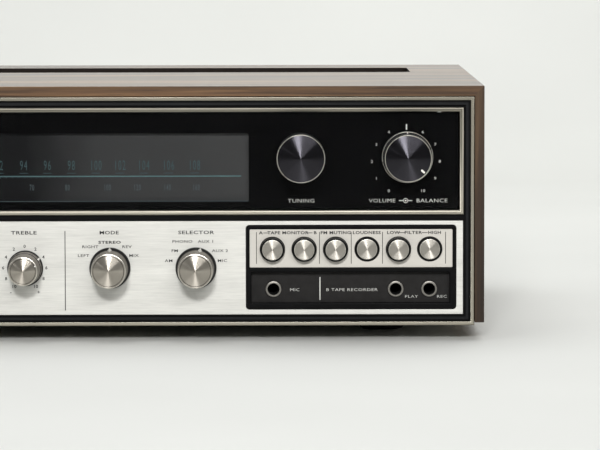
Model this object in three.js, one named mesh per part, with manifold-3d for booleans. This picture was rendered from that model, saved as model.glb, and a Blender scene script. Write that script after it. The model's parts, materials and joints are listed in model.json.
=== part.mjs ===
import * as THREE from 'three';
import { mergeVertices } from 'three/addons/utils/BufferGeometryUtils.js';
import Module from 'manifold-3d';

// A stereo receiver in a wooden case, in millimetres.
// X runs to the right seen from the front, Y to the back and Z up. The origin is on the surface
// the receiver stands on, under the middle of its overall box.

// ---------------------------------------------------------------- driving dimensions

const CASE_WIDTH = 480;
const CASE_DEPTH = 340;
const CASE_HEIGHT = 144;          // lower edge of the silver trim to the wooden top
const FOOT_HEIGHT = 9;
const GAP = 0.3;                  // clearance kept between neighbouring pieces

const FRONT = -CASE_DEPTH / 2;    // front face of the silver trim
const BACK = CASE_DEPTH / 2;      // rear edge of the wooden case
const BASE = FOOT_HEIGHT;         // lower edge of the silver trim
const TOP = BASE + CASE_HEIGHT;

const WOOD_WALL = 12;
const WOOD_SETBACK = 1;           // the trim stands this far in front of the wood
const WOOD_LIFT = 1.6;            // the wood ends this far above the trim's lower edge
const VENT_HALF_LENGTH = 202.5;
const VENT_FRONT = FRONT + 213;
const VENT_BACK = FRONT + 287;
const VENT_CORNER = 5;

const TRIM_HALF_WIDTH = 234;
const TRIM_TOP = BASE + 137.7;
const TRIM_WIDTH = 2.3;
const TRIM_DEPTH = 14;

const DIAL_HALF_WIDTH = 227.5;    // silver frame round the dial glass
const DIAL_LOW = BASE + 66.8;
const DIAL_HIGH = BASE + 130.8;
const DIAL_FRAME = 2.3;
const GLASS_FRONT = FRONT + 3.5;
const GLASS_THICKNESS = 3;

const PANEL_HALF_WIDTH = 227.3;   // brushed aluminium panel with the controls
const PANEL_LOW = BASE + 6.5;
const PANEL_HIGH = BASE + 62.9;
const PANEL_FRONT = FRONT + 3;
const PANEL_THICKNESS = 3;

const INSET_LEFT = 97;            // black moulding with the push buttons and the sockets
const INSET_RIGHT = 223;
const INSET_LOW = BASE + 9.7;
const INSET_HIGH = BASE + 60.2;
const INSET_CORNER = 2;
const INSET_FRONT = FRONT + 2.2;
const INSET_BACK = FRONT + 9;

const PLATE_FRONT = FRONT + 3.2;
const BUTTON_PLATE = { left: 98.7, right: 221.3, low: BASE + 34.5, high: BASE + 58.1 };
const SOCKET_RECESS = { left: 99.9, right: 219.3, low: BASE + 13.4, high: BASE + 32, depth: 5 };

const SUBPANEL_FRONT = FRONT + 24;
const SHEET = 1.5;                // thickness of the chassis sheet steel
const SUBPANEL_BACK = SUBPANEL_FRONT + SHEET;
const BEHIND_SUBPANEL = SUBPANEL_BACK + GAP;
const CHASSIS_HALF_WIDTH = 224;
const CHASSIS_FLOOR = 12;
const CHASSIS_BACK = FRONT + 326;
const REAR_PANEL_FRONT = FRONT + 328;
const REAR_PANEL_BACK = REAR_PANEL_FRONT + SHEET;

const KNOB_ROW = BASE + 34.9;     // height of the row of knobs on the aluminium panel
const KNOB_REACH = 25;            // how far a knob stands out of its panel
const SHAFT_RADIUS = 3;

const TUNING = { x: 129.8, z: BASE + 101.7 };
const VOLUME = { x: 193.6, z: BASE + 101.7 };
const ROTARY_KNOBS = [
  { name: 'speakers', x: -138.3, turn: -15 },
  { name: 'mode', x: 15.1, turn: 0 },
  { name: 'selector', x: 66.8, turn: 13 },
];
const TONE_KNOBS = [
  { name: 'bass', x: -86.7, knobTurn: 0, ringTurn: 0 },
  { name: 'treble', x: -35.8, knobTurn: 67, ringTurn: 55 },
];

const BUTTON_HEIGHT = BASE + 45.8;
const BUTTON_RADIUS = 7.2;
const BUTTON_OUT = 6;             // stand-out of a released button in front of its plate
const BUTTON_TRAVEL = 4.5;
const BUTTONS = [
  { name: 'tape_a_button', x: 112.7, pressed: false },
  { name: 'tape_b_button', x: 131.8, pressed: false },
  { name: 'muting_button', x: 150.7, pressed: false },
  { name: 'loudness_button', x: 169.6, pressed: true },
  { name: 'low_filter_button', x: 188.5, pressed: false },
  { name: 'high_filter_button', x: 207.3, pressed: true },
];
const BUTTON_ROW = { first: BUTTONS[0].x, last: BUTTONS[BUTTONS.length - 1].x };

const JACK_RADIUS = 4.5;
const JACK_BORE = 3.4;
const JACK_HEIGHT = BASE + 21.5;
const JACKS = [
  { name: 'mic_jack', x: 113.3, z: JACK_HEIGHT, front: FRONT + 5.6 },
  { name: 'tape_play_jack', x: 186.9, z: JACK_HEIGHT, front: FRONT + 5.6 },
  { name: 'tape_record_jack', x: 207.1, z: JACK_HEIGHT, front: FRONT + 5.6 },
  { name: 'phones_jack', x: -189.3, z: KNOB_ROW, front: FRONT + 1.6 },
];

const BUSHING_FRONT = FRONT + 19; // the controls' bushings end behind the panel and the glass
const SWITCH_BUSHING = 5;
const TONE_BUSHING = 5.8;
const VOLUME_BUSHING = 6.3;

const CORD_RADIUS = 0.5;
const CORD_PLANE = FRONT + 16;
const WHEEL_HALF_THICKNESS = 2.5;
const FLANGE = 1.2;               // a wheel's rim stands this far beyond its cord groove
const DRIVE_WHEELS = {
  shaft: { x: TUNING.x, z: TUNING.z, groove: 4 },
  pulley: { x: -125, z: TUNING.z - 2, groove: 6 },
  drum: { x: -10, z: BASE + 71, groove: 29 },
};
const POINTER_X = -85;

const DIAL_PLATE = { left: -120, right: 106, low: BASE + 66, high: BASE + 119 };
const DIAL_PLATE_FRONT = FRONT + 10;
const POINTER_FRONT = FRONT + 7.6;

const FOOT_RADIUS = 14;
const FOOT_TOP = FOOT_HEIGHT + 0.9;
const FOOT_X = 180;
const FOOT_Y = [FRONT + 74, FRONT + 270];

const ANTENNA_PIVOT = { x: 205, y: FRONT + 353 };
const ANTENNA_HEIGHT = BASE + 121;
const ANTENNA_LENGTH = 160;
const ANTENNA_RADIUS = 9;

const ROUND = 24;                 // sides of the larger turned pieces
const SMALL_ROUND = 14;           // sides of shafts and holes
const TINY_ROUND = 8;

// ---------------------------------------------------------------- materials

function finish(color, roughness, metalness) {
  return new THREE.MeshStandardMaterial({ color, roughness, metalness });
}

const WALNUT = finish(0x6b4f3a, 0.5, 0);
const SILVER_TRIM = finish(0xc8c4b6, 0.3, 0.9);
const BRUSHED = finish(0xe0e0da, 0.35, 0.85);
const SPUN_SILVER = finish(0xc9c6bd, 0.3, 0.95);
const SPUN_BLACK = finish(0x2b2a2e, 0.35, 0.8);
const BLACK_PLASTIC = finish(0x17181a, 0.45, 0);
const CHARCOAL = finish(0x35332f, 0.6, 0);
const SMOKED_GLASS = finish(0x0a0b0e, 0.08, 0);
const STEEL = finish(0xb4b2aa, 0.45, 0.9);
const BLACK_STEEL = finish(0x1c1c1c, 0.6, 0.5);
const BRASS = finish(0xb58f4e, 0.35, 0.9);
const NICKEL = finish(0xbfbcb2, 0.25, 0.95);
const BOARD = finish(0x8a6a35, 0.6, 0);
const RUBBER = finish(0x141414, 0.85, 0);
const DIAL_GREY = finish(0x2c2f31, 0.5, 0);
const NYLON = finish(0xd8d2c2, 0.5, 0);
const CORD_THREAD = finish(0x20201e, 0.8, 0);
const POINTER_RED = finish(0xc4472b, 0.4, 0);
const COPPER_BROWN = finish(0x6a3b1e, 0.5, 0.3);

// ---------------------------------------------------------------- solid helpers

const wasm = await Module();
wasm.setup();

// Welds a closed geometry and drops the empty triangles that a lathe makes on its axis.
function toSolid(geometry) {
  const plain = geometry.clone();
  plain.deleteAttribute('normal');
  plain.deleteAttribute('uv');
  const welded = mergeVertices(plain, 1e-4);
  const corners = welded.index.array;
  const kept = [];
  for (let i = 0; i < corners.length; i += 3) {
    const [a, b, c] = [corners[i], corners[i + 1], corners[i + 2]];
    if (a !== b && b !== c && c !== a) {
      kept.push(a, b, c);
    }
  }
  return new wasm.Manifold(new wasm.Mesh({
    numProp: 3,
    vertProperties: new Float32Array(welded.attributes.position.array),
    triVerts: new Uint32Array(kept),
  }));
}

function toGeometry(solid) {
  const mesh = solid.getMesh();
  const geometry = new THREE.BufferGeometry();
  geometry.setAttribute('position', new THREE.BufferAttribute(mesh.vertProperties, 3));
  geometry.setIndex(new THREE.BufferAttribute(mesh.triVerts, 1));
  return geometry;
}

// Joins geometries into one body, then cuts the holes away from it.
function shape(joined, holes = []) {
  let solid = toSolid(joined[0]);
  for (const piece of joined.slice(1)) {
    solid = solid.add(toSolid(piece));
  }
  for (const hole of holes) {
    solid = solid.subtract(toSolid(hole));
  }
  return toGeometry(solid);
}

// A box given by its lowest and highest X, Y and Z.
function block(x0, x1, y0, y1, z0, z1) {
  const box = new THREE.BoxGeometry(x1 - x0, y1 - y0, z1 - z0);
  return box.translate((x0 + x1) / 2, (y0 + y1) / 2, (z0 + z1) / 2);
}

// A round bar along Y.
function rod(x, z, y0, y1, radius, sides = SMALL_ROUND) {
  const round = new THREE.CylinderGeometry(radius, radius, y1 - y0, sides);
  return round.translate(x, (y0 + y1) / 2, z);
}

// A round bar standing along Z.
function post(x, y, z0, z1, radius, sides = SMALL_ROUND) {
  const round = new THREE.CylinderGeometry(radius, radius, z1 - z0, sides);
  return round.rotateX(Math.PI / 2).translate(x, y, (z0 + z1) / 2);
}

// A round bar along X.
function bar(y, z, x0, x1, radius, sides = SMALL_ROUND) {
  const round = new THREE.CylinderGeometry(radius, radius, x1 - x0, sides);
  return round.rotateZ(Math.PI / 2).translate((x0 + x1) / 2, y, z);
}

// The outline of a rectangle with round corners, as points.
function roundedOutline(x0, x1, z0, z1, radius, steps = 3) {
  const points = [];
  const centres = [[x1 - radius, z1 - radius, 0], [x0 + radius, z1 - radius, 1],
    [x0 + radius, z0 + radius, 2], [x1 - radius, z0 + radius, 3]];
  for (const [x, z, quarter] of centres) {
    for (let i = 0; i <= steps; i += 1) {
      const angle = (quarter + i / steps) * Math.PI / 2;
      points.push(new THREE.Vector2(x + radius * Math.cos(angle), z + radius * Math.sin(angle)));
    }
  }
  return points;
}

// A plate in the XZ plane, from y0 back to y1, with its outline given as points.
function upright(outline, y0, y1) {
  const face = new THREE.Shape(outline);
  const plate = new THREE.ExtrudeGeometry(face, { depth: y1 - y0, bevelEnabled: false });
  return plate.rotateX(Math.PI / 2).translate(0, y1, 0);
}

// A plate in the XY plane, from z0 up to z1.
function level(outline, z0, z1) {
  const face = new THREE.Shape(outline);
  const plate = new THREE.ExtrudeGeometry(face, { depth: z1 - z0, bevelEnabled: false });
  return plate.translate(0, 0, z0);
}

function circle(x, z, radius, sides = SMALL_ROUND) {
  const points = [];
  for (let i = 0; i < sides; i += 1) {
    const angle = (i / sides) * 2 * Math.PI;
    points.push(new THREE.Vector2(x + radius * Math.cos(angle), z + radius * Math.sin(angle)));
  }
  return points;
}

// A piece turned about its own Y axis, from its profile of [radius, y] points, front to back.
function turned(profile, sides = ROUND) {
  const points = profile.map(([radius, y]) => new THREE.Vector2(radius, y));
  return new THREE.LatheGeometry(points, sides);
}

const receiver = new THREE.Group();

// Adds one sub-part. clockwise is its turn seen from the front, in degrees.
function add(name, geometry, material, x = 0, y = 0, z = 0, clockwise = 0) {
  const mesh = new THREE.Mesh(geometry, material);
  mesh.name = name;
  mesh.position.set(x, y, z);
  mesh.rotation.y = THREE.MathUtils.degToRad(clockwise);
  receiver.add(mesh);
}

// ---------------------------------------------------------------- wooden case and its fittings

function woodCabinet() {
  const half = CASE_WIDTH / 2;
  const inner = half - WOOD_WALL;
  const vent = roundedOutline(-VENT_HALF_LENGTH, VENT_HALF_LENGTH, VENT_FRONT, VENT_BACK, VENT_CORNER);
  return shape(
    [block(-half, half, FRONT + WOOD_SETBACK, BACK, BASE + WOOD_LIFT, TOP)],
    [
      block(-inner, inner, FRONT - 1, BACK + 1, 0, TOP - WOOD_WALL),
      block(-TRIM_HALF_WIDTH - GAP, TRIM_HALF_WIDTH + GAP, FRONT - 1, FRONT + TRIM_DEPTH + GAP,
        0, TRIM_TOP + GAP),
      level(vent, TOP - 2 * WOOD_WALL, TOP + 1),
    ],
  );
}

function ventGrille() {
  const top = TOP - WOOD_WALL - GAP;
  const slots = [];
  const [slotHalfLength, slotHalfWidth] = [44, 4];
  const [slotPitch, rowPitch] = [100, 16];
  for (const column of [-1.5, -0.5, 0.5, 1.5]) {
    for (const row of [-1.5, -0.5, 0.5, 1.5]) {
      const x = column * slotPitch;
      const y = (VENT_FRONT + VENT_BACK) / 2 + row * rowPitch;
      slots.push(block(x - slotHalfLength, x + slotHalfLength, y - slotHalfWidth, y + slotHalfWidth,
        top - 2 * SHEET, top + SHEET));
    }
  }
  const border = 8;
  const half = VENT_HALF_LENGTH + border;
  return shape([block(-half, half, VENT_FRONT - border, VENT_BACK + border, top - SHEET, top)], slots);
}

function bottomCover() {
  const low = FOOT_TOP + GAP;
  const [slotHalfLength, slotHalfWidth] = [18, 4];
  const slots = [];
  for (const x of [-90, -54, -18, 18, 54, 90]) {
    for (const y of [FRONT + 210, FRONT + 262]) {
      slots.push(block(x - slotHalfWidth, x + slotHalfWidth, y - slotHalfLength, y + slotHalfLength,
        low - SHEET, low + 2 * SHEET));
    }
  }
  const half = CASE_WIDTH / 2 - WOOD_WALL - 2;
  return shape([block(-half, half, FRONT + 16, BACK - 4, low, low + SHEET)], slots);
}

const FOOT_PROFILE = [
  [0, 1.5], [5, 1.5], [6, 0], [FOOT_RADIUS - 1, 0], [FOOT_RADIUS, 3], [FOOT_RADIUS, FOOT_TOP],
  [0, FOOT_TOP],
];

function foot() {
  return turned(FOOT_PROFILE, 16).rotateX(Math.PI / 2);
}

add('wood_cabinet', woodCabinet(), WALNUT);
add('vent_grille', ventGrille(), BLACK_STEEL);
add('bottom_cover', bottomCover(), STEEL);
for (const [side, x] of [['left', -FOOT_X], ['right', FOOT_X]]) {
  for (const [end, y] of [['front', FOOT_Y[0]], ['rear', FOOT_Y[1]]]) {
    add(`foot_${end}_${side}`, foot(), RUBBER, x, y, 0);
  }
}

// ---------------------------------------------------------------- front frames, glass and panels

// A rectangular frame with bars of one width.
function frame(half, low, high, width, y0, y1) {
  return shape(
    [block(-half, half, y0, y1, low, high)],
    [block(-half + width, half - width, y0 - 1, y1 + 1, low + width, high - width)],
  );
}

function outerTrim() {
  return frame(TRIM_HALF_WIDTH, BASE, TRIM_TOP, TRIM_WIDTH, FRONT, FRONT + TRIM_DEPTH);
}

function blackBezel() {
  const half = TRIM_HALF_WIDTH - TRIM_WIDTH - GAP;
  const low = BASE + TRIM_WIDTH + GAP;
  const high = TRIM_TOP - TRIM_WIDTH - GAP;
  const front = FRONT + 1.6;
  const back = FRONT + 10;
  const step = 1.6;
  const dial = DIAL_HALF_WIDTH + GAP;
  const panel = PANEL_HALF_WIDTH + GAP;
  return shape(
    [block(-half, half, front, back, low, high)],
    [
      block(-half + step, half - step, front - 1, front + step, low + step, high - step),
      block(-dial, dial, front - 1, back + 1, DIAL_LOW - GAP, DIAL_HIGH + GAP),
      block(-panel, panel, front - 1, back + 1, PANEL_LOW - GAP, PANEL_HIGH + GAP),
    ],
  );
}

function dialTrim() {
  return frame(DIAL_HALF_WIDTH, DIAL_LOW, DIAL_HIGH, DIAL_FRAME, FRONT + 1.2, FRONT + 8);
}

function dialGlass() {
  const half = DIAL_HALF_WIDTH - DIAL_FRAME - GAP;
  const low = DIAL_LOW + DIAL_FRAME + GAP;
  const high = DIAL_HIGH - DIAL_FRAME - GAP;
  const back = GLASS_FRONT + GLASS_THICKNESS;
  return shape(
    [block(-half, half, GLASS_FRONT, back, low, high)],
    [
      rod(TUNING.x, TUNING.z, GLASS_FRONT - 1, back + 1, 5),
      rod(VOLUME.x, VOLUME.z, GLASS_FRONT - 1, back + 1, 7),
    ],
  );
}

function dialScale() {
  const { left, right, low, high } = DIAL_PLATE;
  const pieces = [block(left, right, DIAL_PLATE_FRONT, DIAL_PLATE_FRONT + SHEET, low, high)];
  for (const x of [left + 4, right - 4]) {
    for (const z of [low + 4, high - 3]) {
      pieces.push(rod(x, z, DIAL_PLATE_FRONT + 1, SUBPANEL_FRONT - GAP, 3, TINY_ROUND));
    }
  }
  return shape(pieces);
}

function lowerFaceplate() {
  const back = PANEL_FRONT + PANEL_THICKNESS;
  const phones = JACKS.find((one) => one.name === 'phones_jack');
  const rounds = [[phones.x, JACK_RADIUS + GAP]];
  for (const { x } of ROTARY_KNOBS) {
    rounds.push([x, SWITCH_BUSHING + 0.4]);
  }
  for (const { x } of TONE_KNOBS) {
    rounds.push([x, TONE_BUSHING + 0.2]);
  }
  const inset = roundedOutline(INSET_LEFT - GAP, INSET_RIGHT + GAP, INSET_LOW - GAP, INSET_HIGH + GAP,
    INSET_CORNER);
  return shape(
    [block(-PANEL_HALF_WIDTH, PANEL_HALF_WIDTH, PANEL_FRONT, back, PANEL_LOW, PANEL_HIGH)],
    [
      upright(inset, PANEL_FRONT - 1, back + 1),
      ...rounds.map(([x, radius]) => rod(x, KNOB_ROW, PANEL_FRONT - 1, back + 1, radius)),
    ],
  );
}

function insetBezel() {
  const plateFloor = FRONT + 5;
  const recessFloor = INSET_FRONT + SOCKET_RECESS.depth;
  const pocket = ({ left, right, low, high }, floor) => block(left, right, FRONT - 1, floor, low, high);
  const cuts = [pocket(BUTTON_PLATE, plateFloor), pocket(SOCKET_RECESS, recessFloor)];
  const { first, last } = BUTTON_ROW;
  cuts.push(block(first - 8.2, last + 8.2, FRONT - 1, INSET_BACK + 1, BUTTON_HEIGHT - 8, BUTTON_HEIGHT + 8));
  for (const { name, x, z } of JACKS) {
    if (name !== 'phones_jack') {
      cuts.push(rod(x, z, FRONT - 1, INSET_BACK + 1, JACK_RADIUS + GAP));
    }
  }
  const outline = roundedOutline(INSET_LEFT, INSET_RIGHT, INSET_LOW, INSET_HIGH, INSET_CORNER);
  return shape([upright(outline, INSET_FRONT, INSET_BACK)], cuts);
}

function buttonPlate() {
  const { left, right, low, high } = BUTTON_PLATE;
  const holes = BUTTONS.map(({ x }) => rod(x, BUTTON_HEIGHT, FRONT, FRONT + 6, BUTTON_RADIUS + 0.4));
  return shape(
    [block(left + GAP, right - GAP, PLATE_FRONT, PLATE_FRONT + SHEET, low + GAP, high - GAP)],
    holes,
  );
}

add('outer_trim', outerTrim(), SILVER_TRIM);
add('black_bezel', blackBezel(), BLACK_PLASTIC);
add('dial_trim', dialTrim(), SILVER_TRIM);
add('dial_glass', dialGlass(), SMOKED_GLASS);
add('dial_scale', dialScale(), DIAL_GREY);
add('lower_faceplate', lowerFaceplate(), BRUSHED);
add('inset_bezel', insetBezel(), CHARCOAL);
add('button_plate', buttonPlate(), BRUSHED);

// ---------------------------------------------------------------- knobs
// Each is turned about its shaft, with y = 0 at the face of the panel in front of which it stands.

const KNOB_BACK = -0.8;

// One spun cap with a rim, from the given front radius to the skirt, on a shaft.
function capProfile(frontRadius, backRadius, back, shaftEnd) {
  return [
    [0, -KNOB_REACH + 0.6], [frontRadius - 1, -KNOB_REACH], [frontRadius, -KNOB_REACH + 0.5],
    [backRadius, back], [SHAFT_RADIUS, back], [SHAFT_RADIUS, shaftEnd], [0, shaftEnd],
  ];
}

// A collar turned about Y, with a bore through it.
function collarProfile(outer, bore) {
  const innerBack = [bore, outer[outer.length - 1][1]];
  return [[bore, outer[0][1]], ...outer, innerBack, [bore, outer[0][1]]];
}

// The pointer ridge along a rotary knob's body, pointing up.
function pointerRidge() {
  const [base, tip] = [9.4, 12.2];
  const outline = [[-2.6, base], [2.6, base], [0.4, tip], [-0.4, tip]];
  return upright(outline.map(([x, z]) => new THREE.Vector2(x, z)), -19, -3);
}

function rotaryKnob(shaftEnd) {
  const body = [
    [0, -KNOB_REACH + 0.6], [9.4, -KNOB_REACH], [10.4, -KNOB_REACH + 0.5], [11.7, -3.6], [12.3, -3.4],
    [12.3, KNOB_BACK], [SHAFT_RADIUS, KNOB_BACK], [SHAFT_RADIUS, shaftEnd], [0, shaftEnd],
  ];
  return shape([turned(body), pointerRidge()]);
}

const TONE_RING_FRONT = -11;
const TUBE_RADIUS = 4.8;
const TUBE_BORE = 3.4;

function toneKnob() {
  return turned(capProfile(8.7, 9.6, TONE_RING_FRONT - 0.5, 42));
}

function toneRing() {
  const outer = [[9.9, TONE_RING_FRONT], [10.1, -3.6], [10.7, -3.4], [10.7, KNOB_BACK],
    [TUBE_RADIUS, KNOB_BACK], [TUBE_RADIUS, 30]];
  return turned(collarProfile(outer, TUBE_BORE));
}

const VOLUME_RING_FRONT = -11;

function volumeKnob() {
  return turned(capProfile(14, 14.2, VOLUME_RING_FRONT - 0.5, 40));
}

function balanceRing() {
  const outer = [[15.3, VOLUME_RING_FRONT], [15.7, VOLUME_RING_FRONT + 0.6], [15.7, KNOB_BACK],
    [TUBE_RADIUS, KNOB_BACK], [TUBE_RADIUS, 30]];
  return turned(collarProfile(outer, TUBE_BORE));
}

// The tuning knob slips over the front end of the tuning shaft.
const TUNING_SOCKET = -8;

function tuningKnob() {
  const socket = SHAFT_RADIUS + GAP;
  const profile = [
    [0, -KNOB_REACH + 0.6], [13.4, -KNOB_REACH], [14.4, -KNOB_REACH + 0.5], [14.4, KNOB_BACK],
    [socket, KNOB_BACK], [socket, TUNING_SOCKET], [0, TUNING_SOCKET],
  ];
  return turned(profile);
}

for (const { name, x, turn } of ROTARY_KNOBS) {
  add(`${name}_knob`, rotaryKnob(32), SPUN_SILVER, x, PANEL_FRONT, KNOB_ROW, turn);
}
for (const { name, x, knobTurn, ringTurn } of TONE_KNOBS) {
  add(`${name}_knob`, toneKnob(), SPUN_SILVER, x, PANEL_FRONT, KNOB_ROW, knobTurn);
  add(`${name}_ring`, toneRing(), SPUN_SILVER, x, PANEL_FRONT, KNOB_ROW, ringTurn);
}
add('volume_knob', volumeKnob(), SPUN_BLACK, VOLUME.x, GLASS_FRONT, VOLUME.z, 131);
add('balance_ring', balanceRing(), SPUN_BLACK, VOLUME.x, GLASS_FRONT, VOLUME.z);
add('tuning_knob', tuningKnob(), SPUN_BLACK, TUNING.x, GLASS_FRONT, TUNING.z);

// ---------------------------------------------------------------- push buttons

const PLUNGER_RADIUS = 2.5;
const PLUNGER_STOP = FRONT + 41.5;

function pushButton() {
  const [capLength, length] = [14, 38];
  return turned([
    [0, 0], [BUTTON_RADIUS - 0.4, 0], [BUTTON_RADIUS, 0.4], [BUTTON_RADIUS, capLength],
    [PLUNGER_RADIUS, capLength], [PLUNGER_RADIUS, length], [0, length],
  ], 18);
}

for (const { name, x, pressed } of BUTTONS) {
  const front = PLATE_FRONT - BUTTON_OUT + (pressed ? BUTTON_TRAVEL : 0);
  add(name, pushButton(), BLACK_PLASTIC, x, front, BUTTON_HEIGHT);
}

// ---------------------------------------------------------------- controls behind the front

// A round control body behind the subpanel, with its bushing through it and a stepped bore.
function controlBody(x, z, radius, length, bushing, bores) {
  const joined = [
    rod(x, z, BEHIND_SUBPANEL, BEHIND_SUBPANEL + length, radius),
    rod(x, z, BUSHING_FRONT, BEHIND_SUBPANEL + 1, bushing),
  ];
  const holes = bores.map(([boreRadius, depth]) => rod(x, z, BUSHING_FRONT - 1, depth, boreRadius));
  return { joined, holes };
}

// Bores for two shafts, one inside the other, or for a single shaft.
const TWIN_BORES = [[TUBE_RADIUS + GAP, FRONT + 35], [SHAFT_RADIUS + GAP, FRONT + 47]];
const SINGLE_BORE = [[SHAFT_RADIUS + GAP, FRONT + 38]];

function volumeBalancePot() {
  const { joined, holes } = controlBody(VOLUME.x, VOLUME.z, 12, 24, VOLUME_BUSHING, TWIN_BORES);
  joined.push(block(VOLUME.x - 10, VOLUME.x + 10, FRONT + 34, FRONT + 46, VOLUME.z - 19, VOLUME.z - 8));
  return shape(joined, holes);
}

function toneBoard() {
  const board = block(-112, -14, FRONT + 49, FRONT + 50.6, KNOB_ROW - 22, KNOB_ROW + 13);
  const pieces = [board];
  const cuts = [];
  for (const { x } of TONE_KNOBS) {
    const { joined, holes } = controlBody(x, KNOB_ROW, 11, 24, TONE_BUSHING, TWIN_BORES);
    pieces.push(...joined);
    cuts.push(...holes);
  }
  for (const [x, z] of [[-66, -14], [-60, 8], [-54, -14], [-104, 8], [-20, -14]]) {
    pieces.push(rod(x, KNOB_ROW + z, FRONT + 50, FRONT + 60, 3.5, TINY_ROUND));
  }
  return shape(pieces, cuts);
}

// A rotary switch with two round wafers on its rear spindle.
function waferSwitch(x) {
  const { joined, holes } = controlBody(x, KNOB_ROW, 9, 10, SWITCH_BUSHING, SINGLE_BORE);
  for (const y of [FRONT + 44, FRONT + 56]) {
    joined.push(rod(x, KNOB_ROW, y, y + 1.6, 13));
  }
  joined.push(rod(x, KNOB_ROW, FRONT + 30, FRONT + 60, 4.5, TINY_ROUND));
  return shape(joined, holes);
}

function pushSwitchBank() {
  const { first, last } = BUTTON_ROW;
  const low = BUTTON_HEIGHT - 8;
  const high = BUTTON_HEIGHT + 6;
  const joined = [block(first - 9, last + 9, BEHIND_SUBPANEL, BEHIND_SUBPANEL + 3, low, high)];
  const holes = [];
  for (const { x } of BUTTONS) {
    joined.push(block(x - 6, x + 6, BEHIND_SUBPANEL + 2, BEHIND_SUBPANEL + 36, low + 2, high - 1));
    holes.push(rod(x, BUTTON_HEIGHT, SUBPANEL_FRONT, PLUNGER_STOP, PLUNGER_RADIUS + GAP, TINY_ROUND));
  }
  joined.push(block(first - 9, last + 9, BEHIND_SUBPANEL + 35, BEHIND_SUBPANEL + 36.6, low, high));
  return shape(joined, holes);
}

function jack({ x, z, front }) {
  const [half, boreEnd, sides] = [7, FRONT + 49, 16];
  const body = block(x - half, x + half, BEHIND_SUBPANEL, boreEnd + 3, z - half, z + half);
  const lip = rod(x, z, front, BEHIND_SUBPANEL + 1, JACK_RADIUS, sides);
  return shape([body, lip], [rod(x, z, front - 1, boreEnd, JACK_BORE, sides)]);
}

add('volume_balance_pot', volumeBalancePot(), STEEL);
add('tone_board', toneBoard(), BOARD);
for (const { name, x } of ROTARY_KNOBS) {
  add(`${name}_switch`, waferSwitch(x), STEEL);
}
add('push_switch_bank', pushSwitchBank(), STEEL);
for (const one of JACKS) {
  add(one.name, jack(one), NICKEL);
}

// ---------------------------------------------------------------- chassis and rear panel

const PULLEY_STUD = 2;
const CAPACITOR_BUSHING = 5.5;

// The tray has a floor, two low sides and a tall subpanel across its front.
function chassisTray() {
  const side = CHASSIS_HALF_WIDTH;
  const sideTop = BASE + 55;
  const { pulley, drum } = DRIVE_WHEELS;
  const joined = [
    block(-side, side, SUBPANEL_FRONT, CHASSIS_BACK, CHASSIS_FLOOR, CHASSIS_FLOOR + SHEET),
    block(-side, side, SUBPANEL_FRONT, SUBPANEL_BACK, CHASSIS_FLOOR, TOP - 18),
    block(-side, -side + SHEET, SUBPANEL_FRONT, CHASSIS_BACK, CHASSIS_FLOOR, sideTop),
    block(side - SHEET, side, SUBPANEL_FRONT, CHASSIS_BACK, CHASSIS_FLOOR, sideTop),
    rod(pulley.x, pulley.z, CORD_PLANE - 3, SUBPANEL_FRONT + 1, PULLEY_STUD, TINY_ROUND),
  ];
  const clearance = 0.5;
  const bores = [
    [TUNING.x, TUNING.z, SHAFT_RADIUS + clearance],
    [VOLUME.x, VOLUME.z, VOLUME_BUSHING + clearance],
    [drum.x, drum.z, CAPACITOR_BUSHING + clearance],
    ...ROTARY_KNOBS.map(({ x }) => [x, KNOB_ROW, SWITCH_BUSHING + clearance]),
    ...TONE_KNOBS.map(({ x }) => [x, KNOB_ROW, TONE_BUSHING + clearance]),
  ];
  const holes = bores.map(([x, z, radius]) => (
    rod(x, z, SUBPANEL_FRONT - 1, SUBPANEL_BACK + 1, radius, TINY_ROUND)));
  // One slot for the plungers, one for the three sockets in the recess and one for the phones socket.
  const slot = (left, right, middle, half) => (
    block(left, right, SUBPANEL_FRONT - 1, SUBPANEL_BACK + 1, middle - half, middle + half));
  const { first, last } = BUTTON_ROW;
  const [mic, , record, phones] = JACKS;
  const half = JACK_RADIUS + clearance;
  holes.push(
    slot(first - 4.2, last + 4.2, BUTTON_HEIGHT, PLUNGER_RADIUS + clearance + 0.4),
    slot(mic.x - half, record.x + half, mic.z, half),
    slot(phones.x - half, phones.x + half, phones.z, half),
  );
  return shape(joined, holes);
}

const REAR_LOW = 14;
const REAR_HIGH = TOP - WOOD_WALL - 2;
const GLAND = { x: -208, z: 34, hole: 6.3 };
const PIN_RADIUS = 1.6;

function rearPanel() {
  const { x, y } = ANTENNA_PIVOT;
  const plate = block(-225, 225, REAR_PANEL_FRONT, REAR_PANEL_BACK, REAR_LOW, REAR_HIGH);
  const glandHole = rod(GLAND.x, GLAND.z, REAR_PANEL_FRONT - 1, REAR_PANEL_BACK + 1, GLAND.hole);
  const lugs = [-1, 1].map((side) => {
    const middle = ANTENNA_HEIGHT + side * 8.5;
    return block(x - 5, x + 5, REAR_PANEL_FRONT + 1, y + 4, middle - 1, middle + 1);
  });
  const pin = post(x, y, ANTENNA_HEIGHT - 9, ANTENNA_HEIGHT + 9, PIN_RADIUS, TINY_ROUND);
  return shape([plate, ...lugs, pin], [glandHole]);
}

add('chassis_tray', chassisTray(), STEEL);
add('rear_panel', rearPanel(), STEEL);

// ---------------------------------------------------------------- dial drive

// A grooved wheel, about its own Y axis, with the cord's plane at y = 0.
function wheelProfile(groove, hub) {
  const rim = groove + FLANGE;
  const half = WHEEL_HALF_THICKNESS;
  return [[hub, -half], [rim, -half], [groove, -1], [groove, 1], [rim, half], [hub, half]];
}

const FLYWHEEL_RADIUS = 18;

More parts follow.
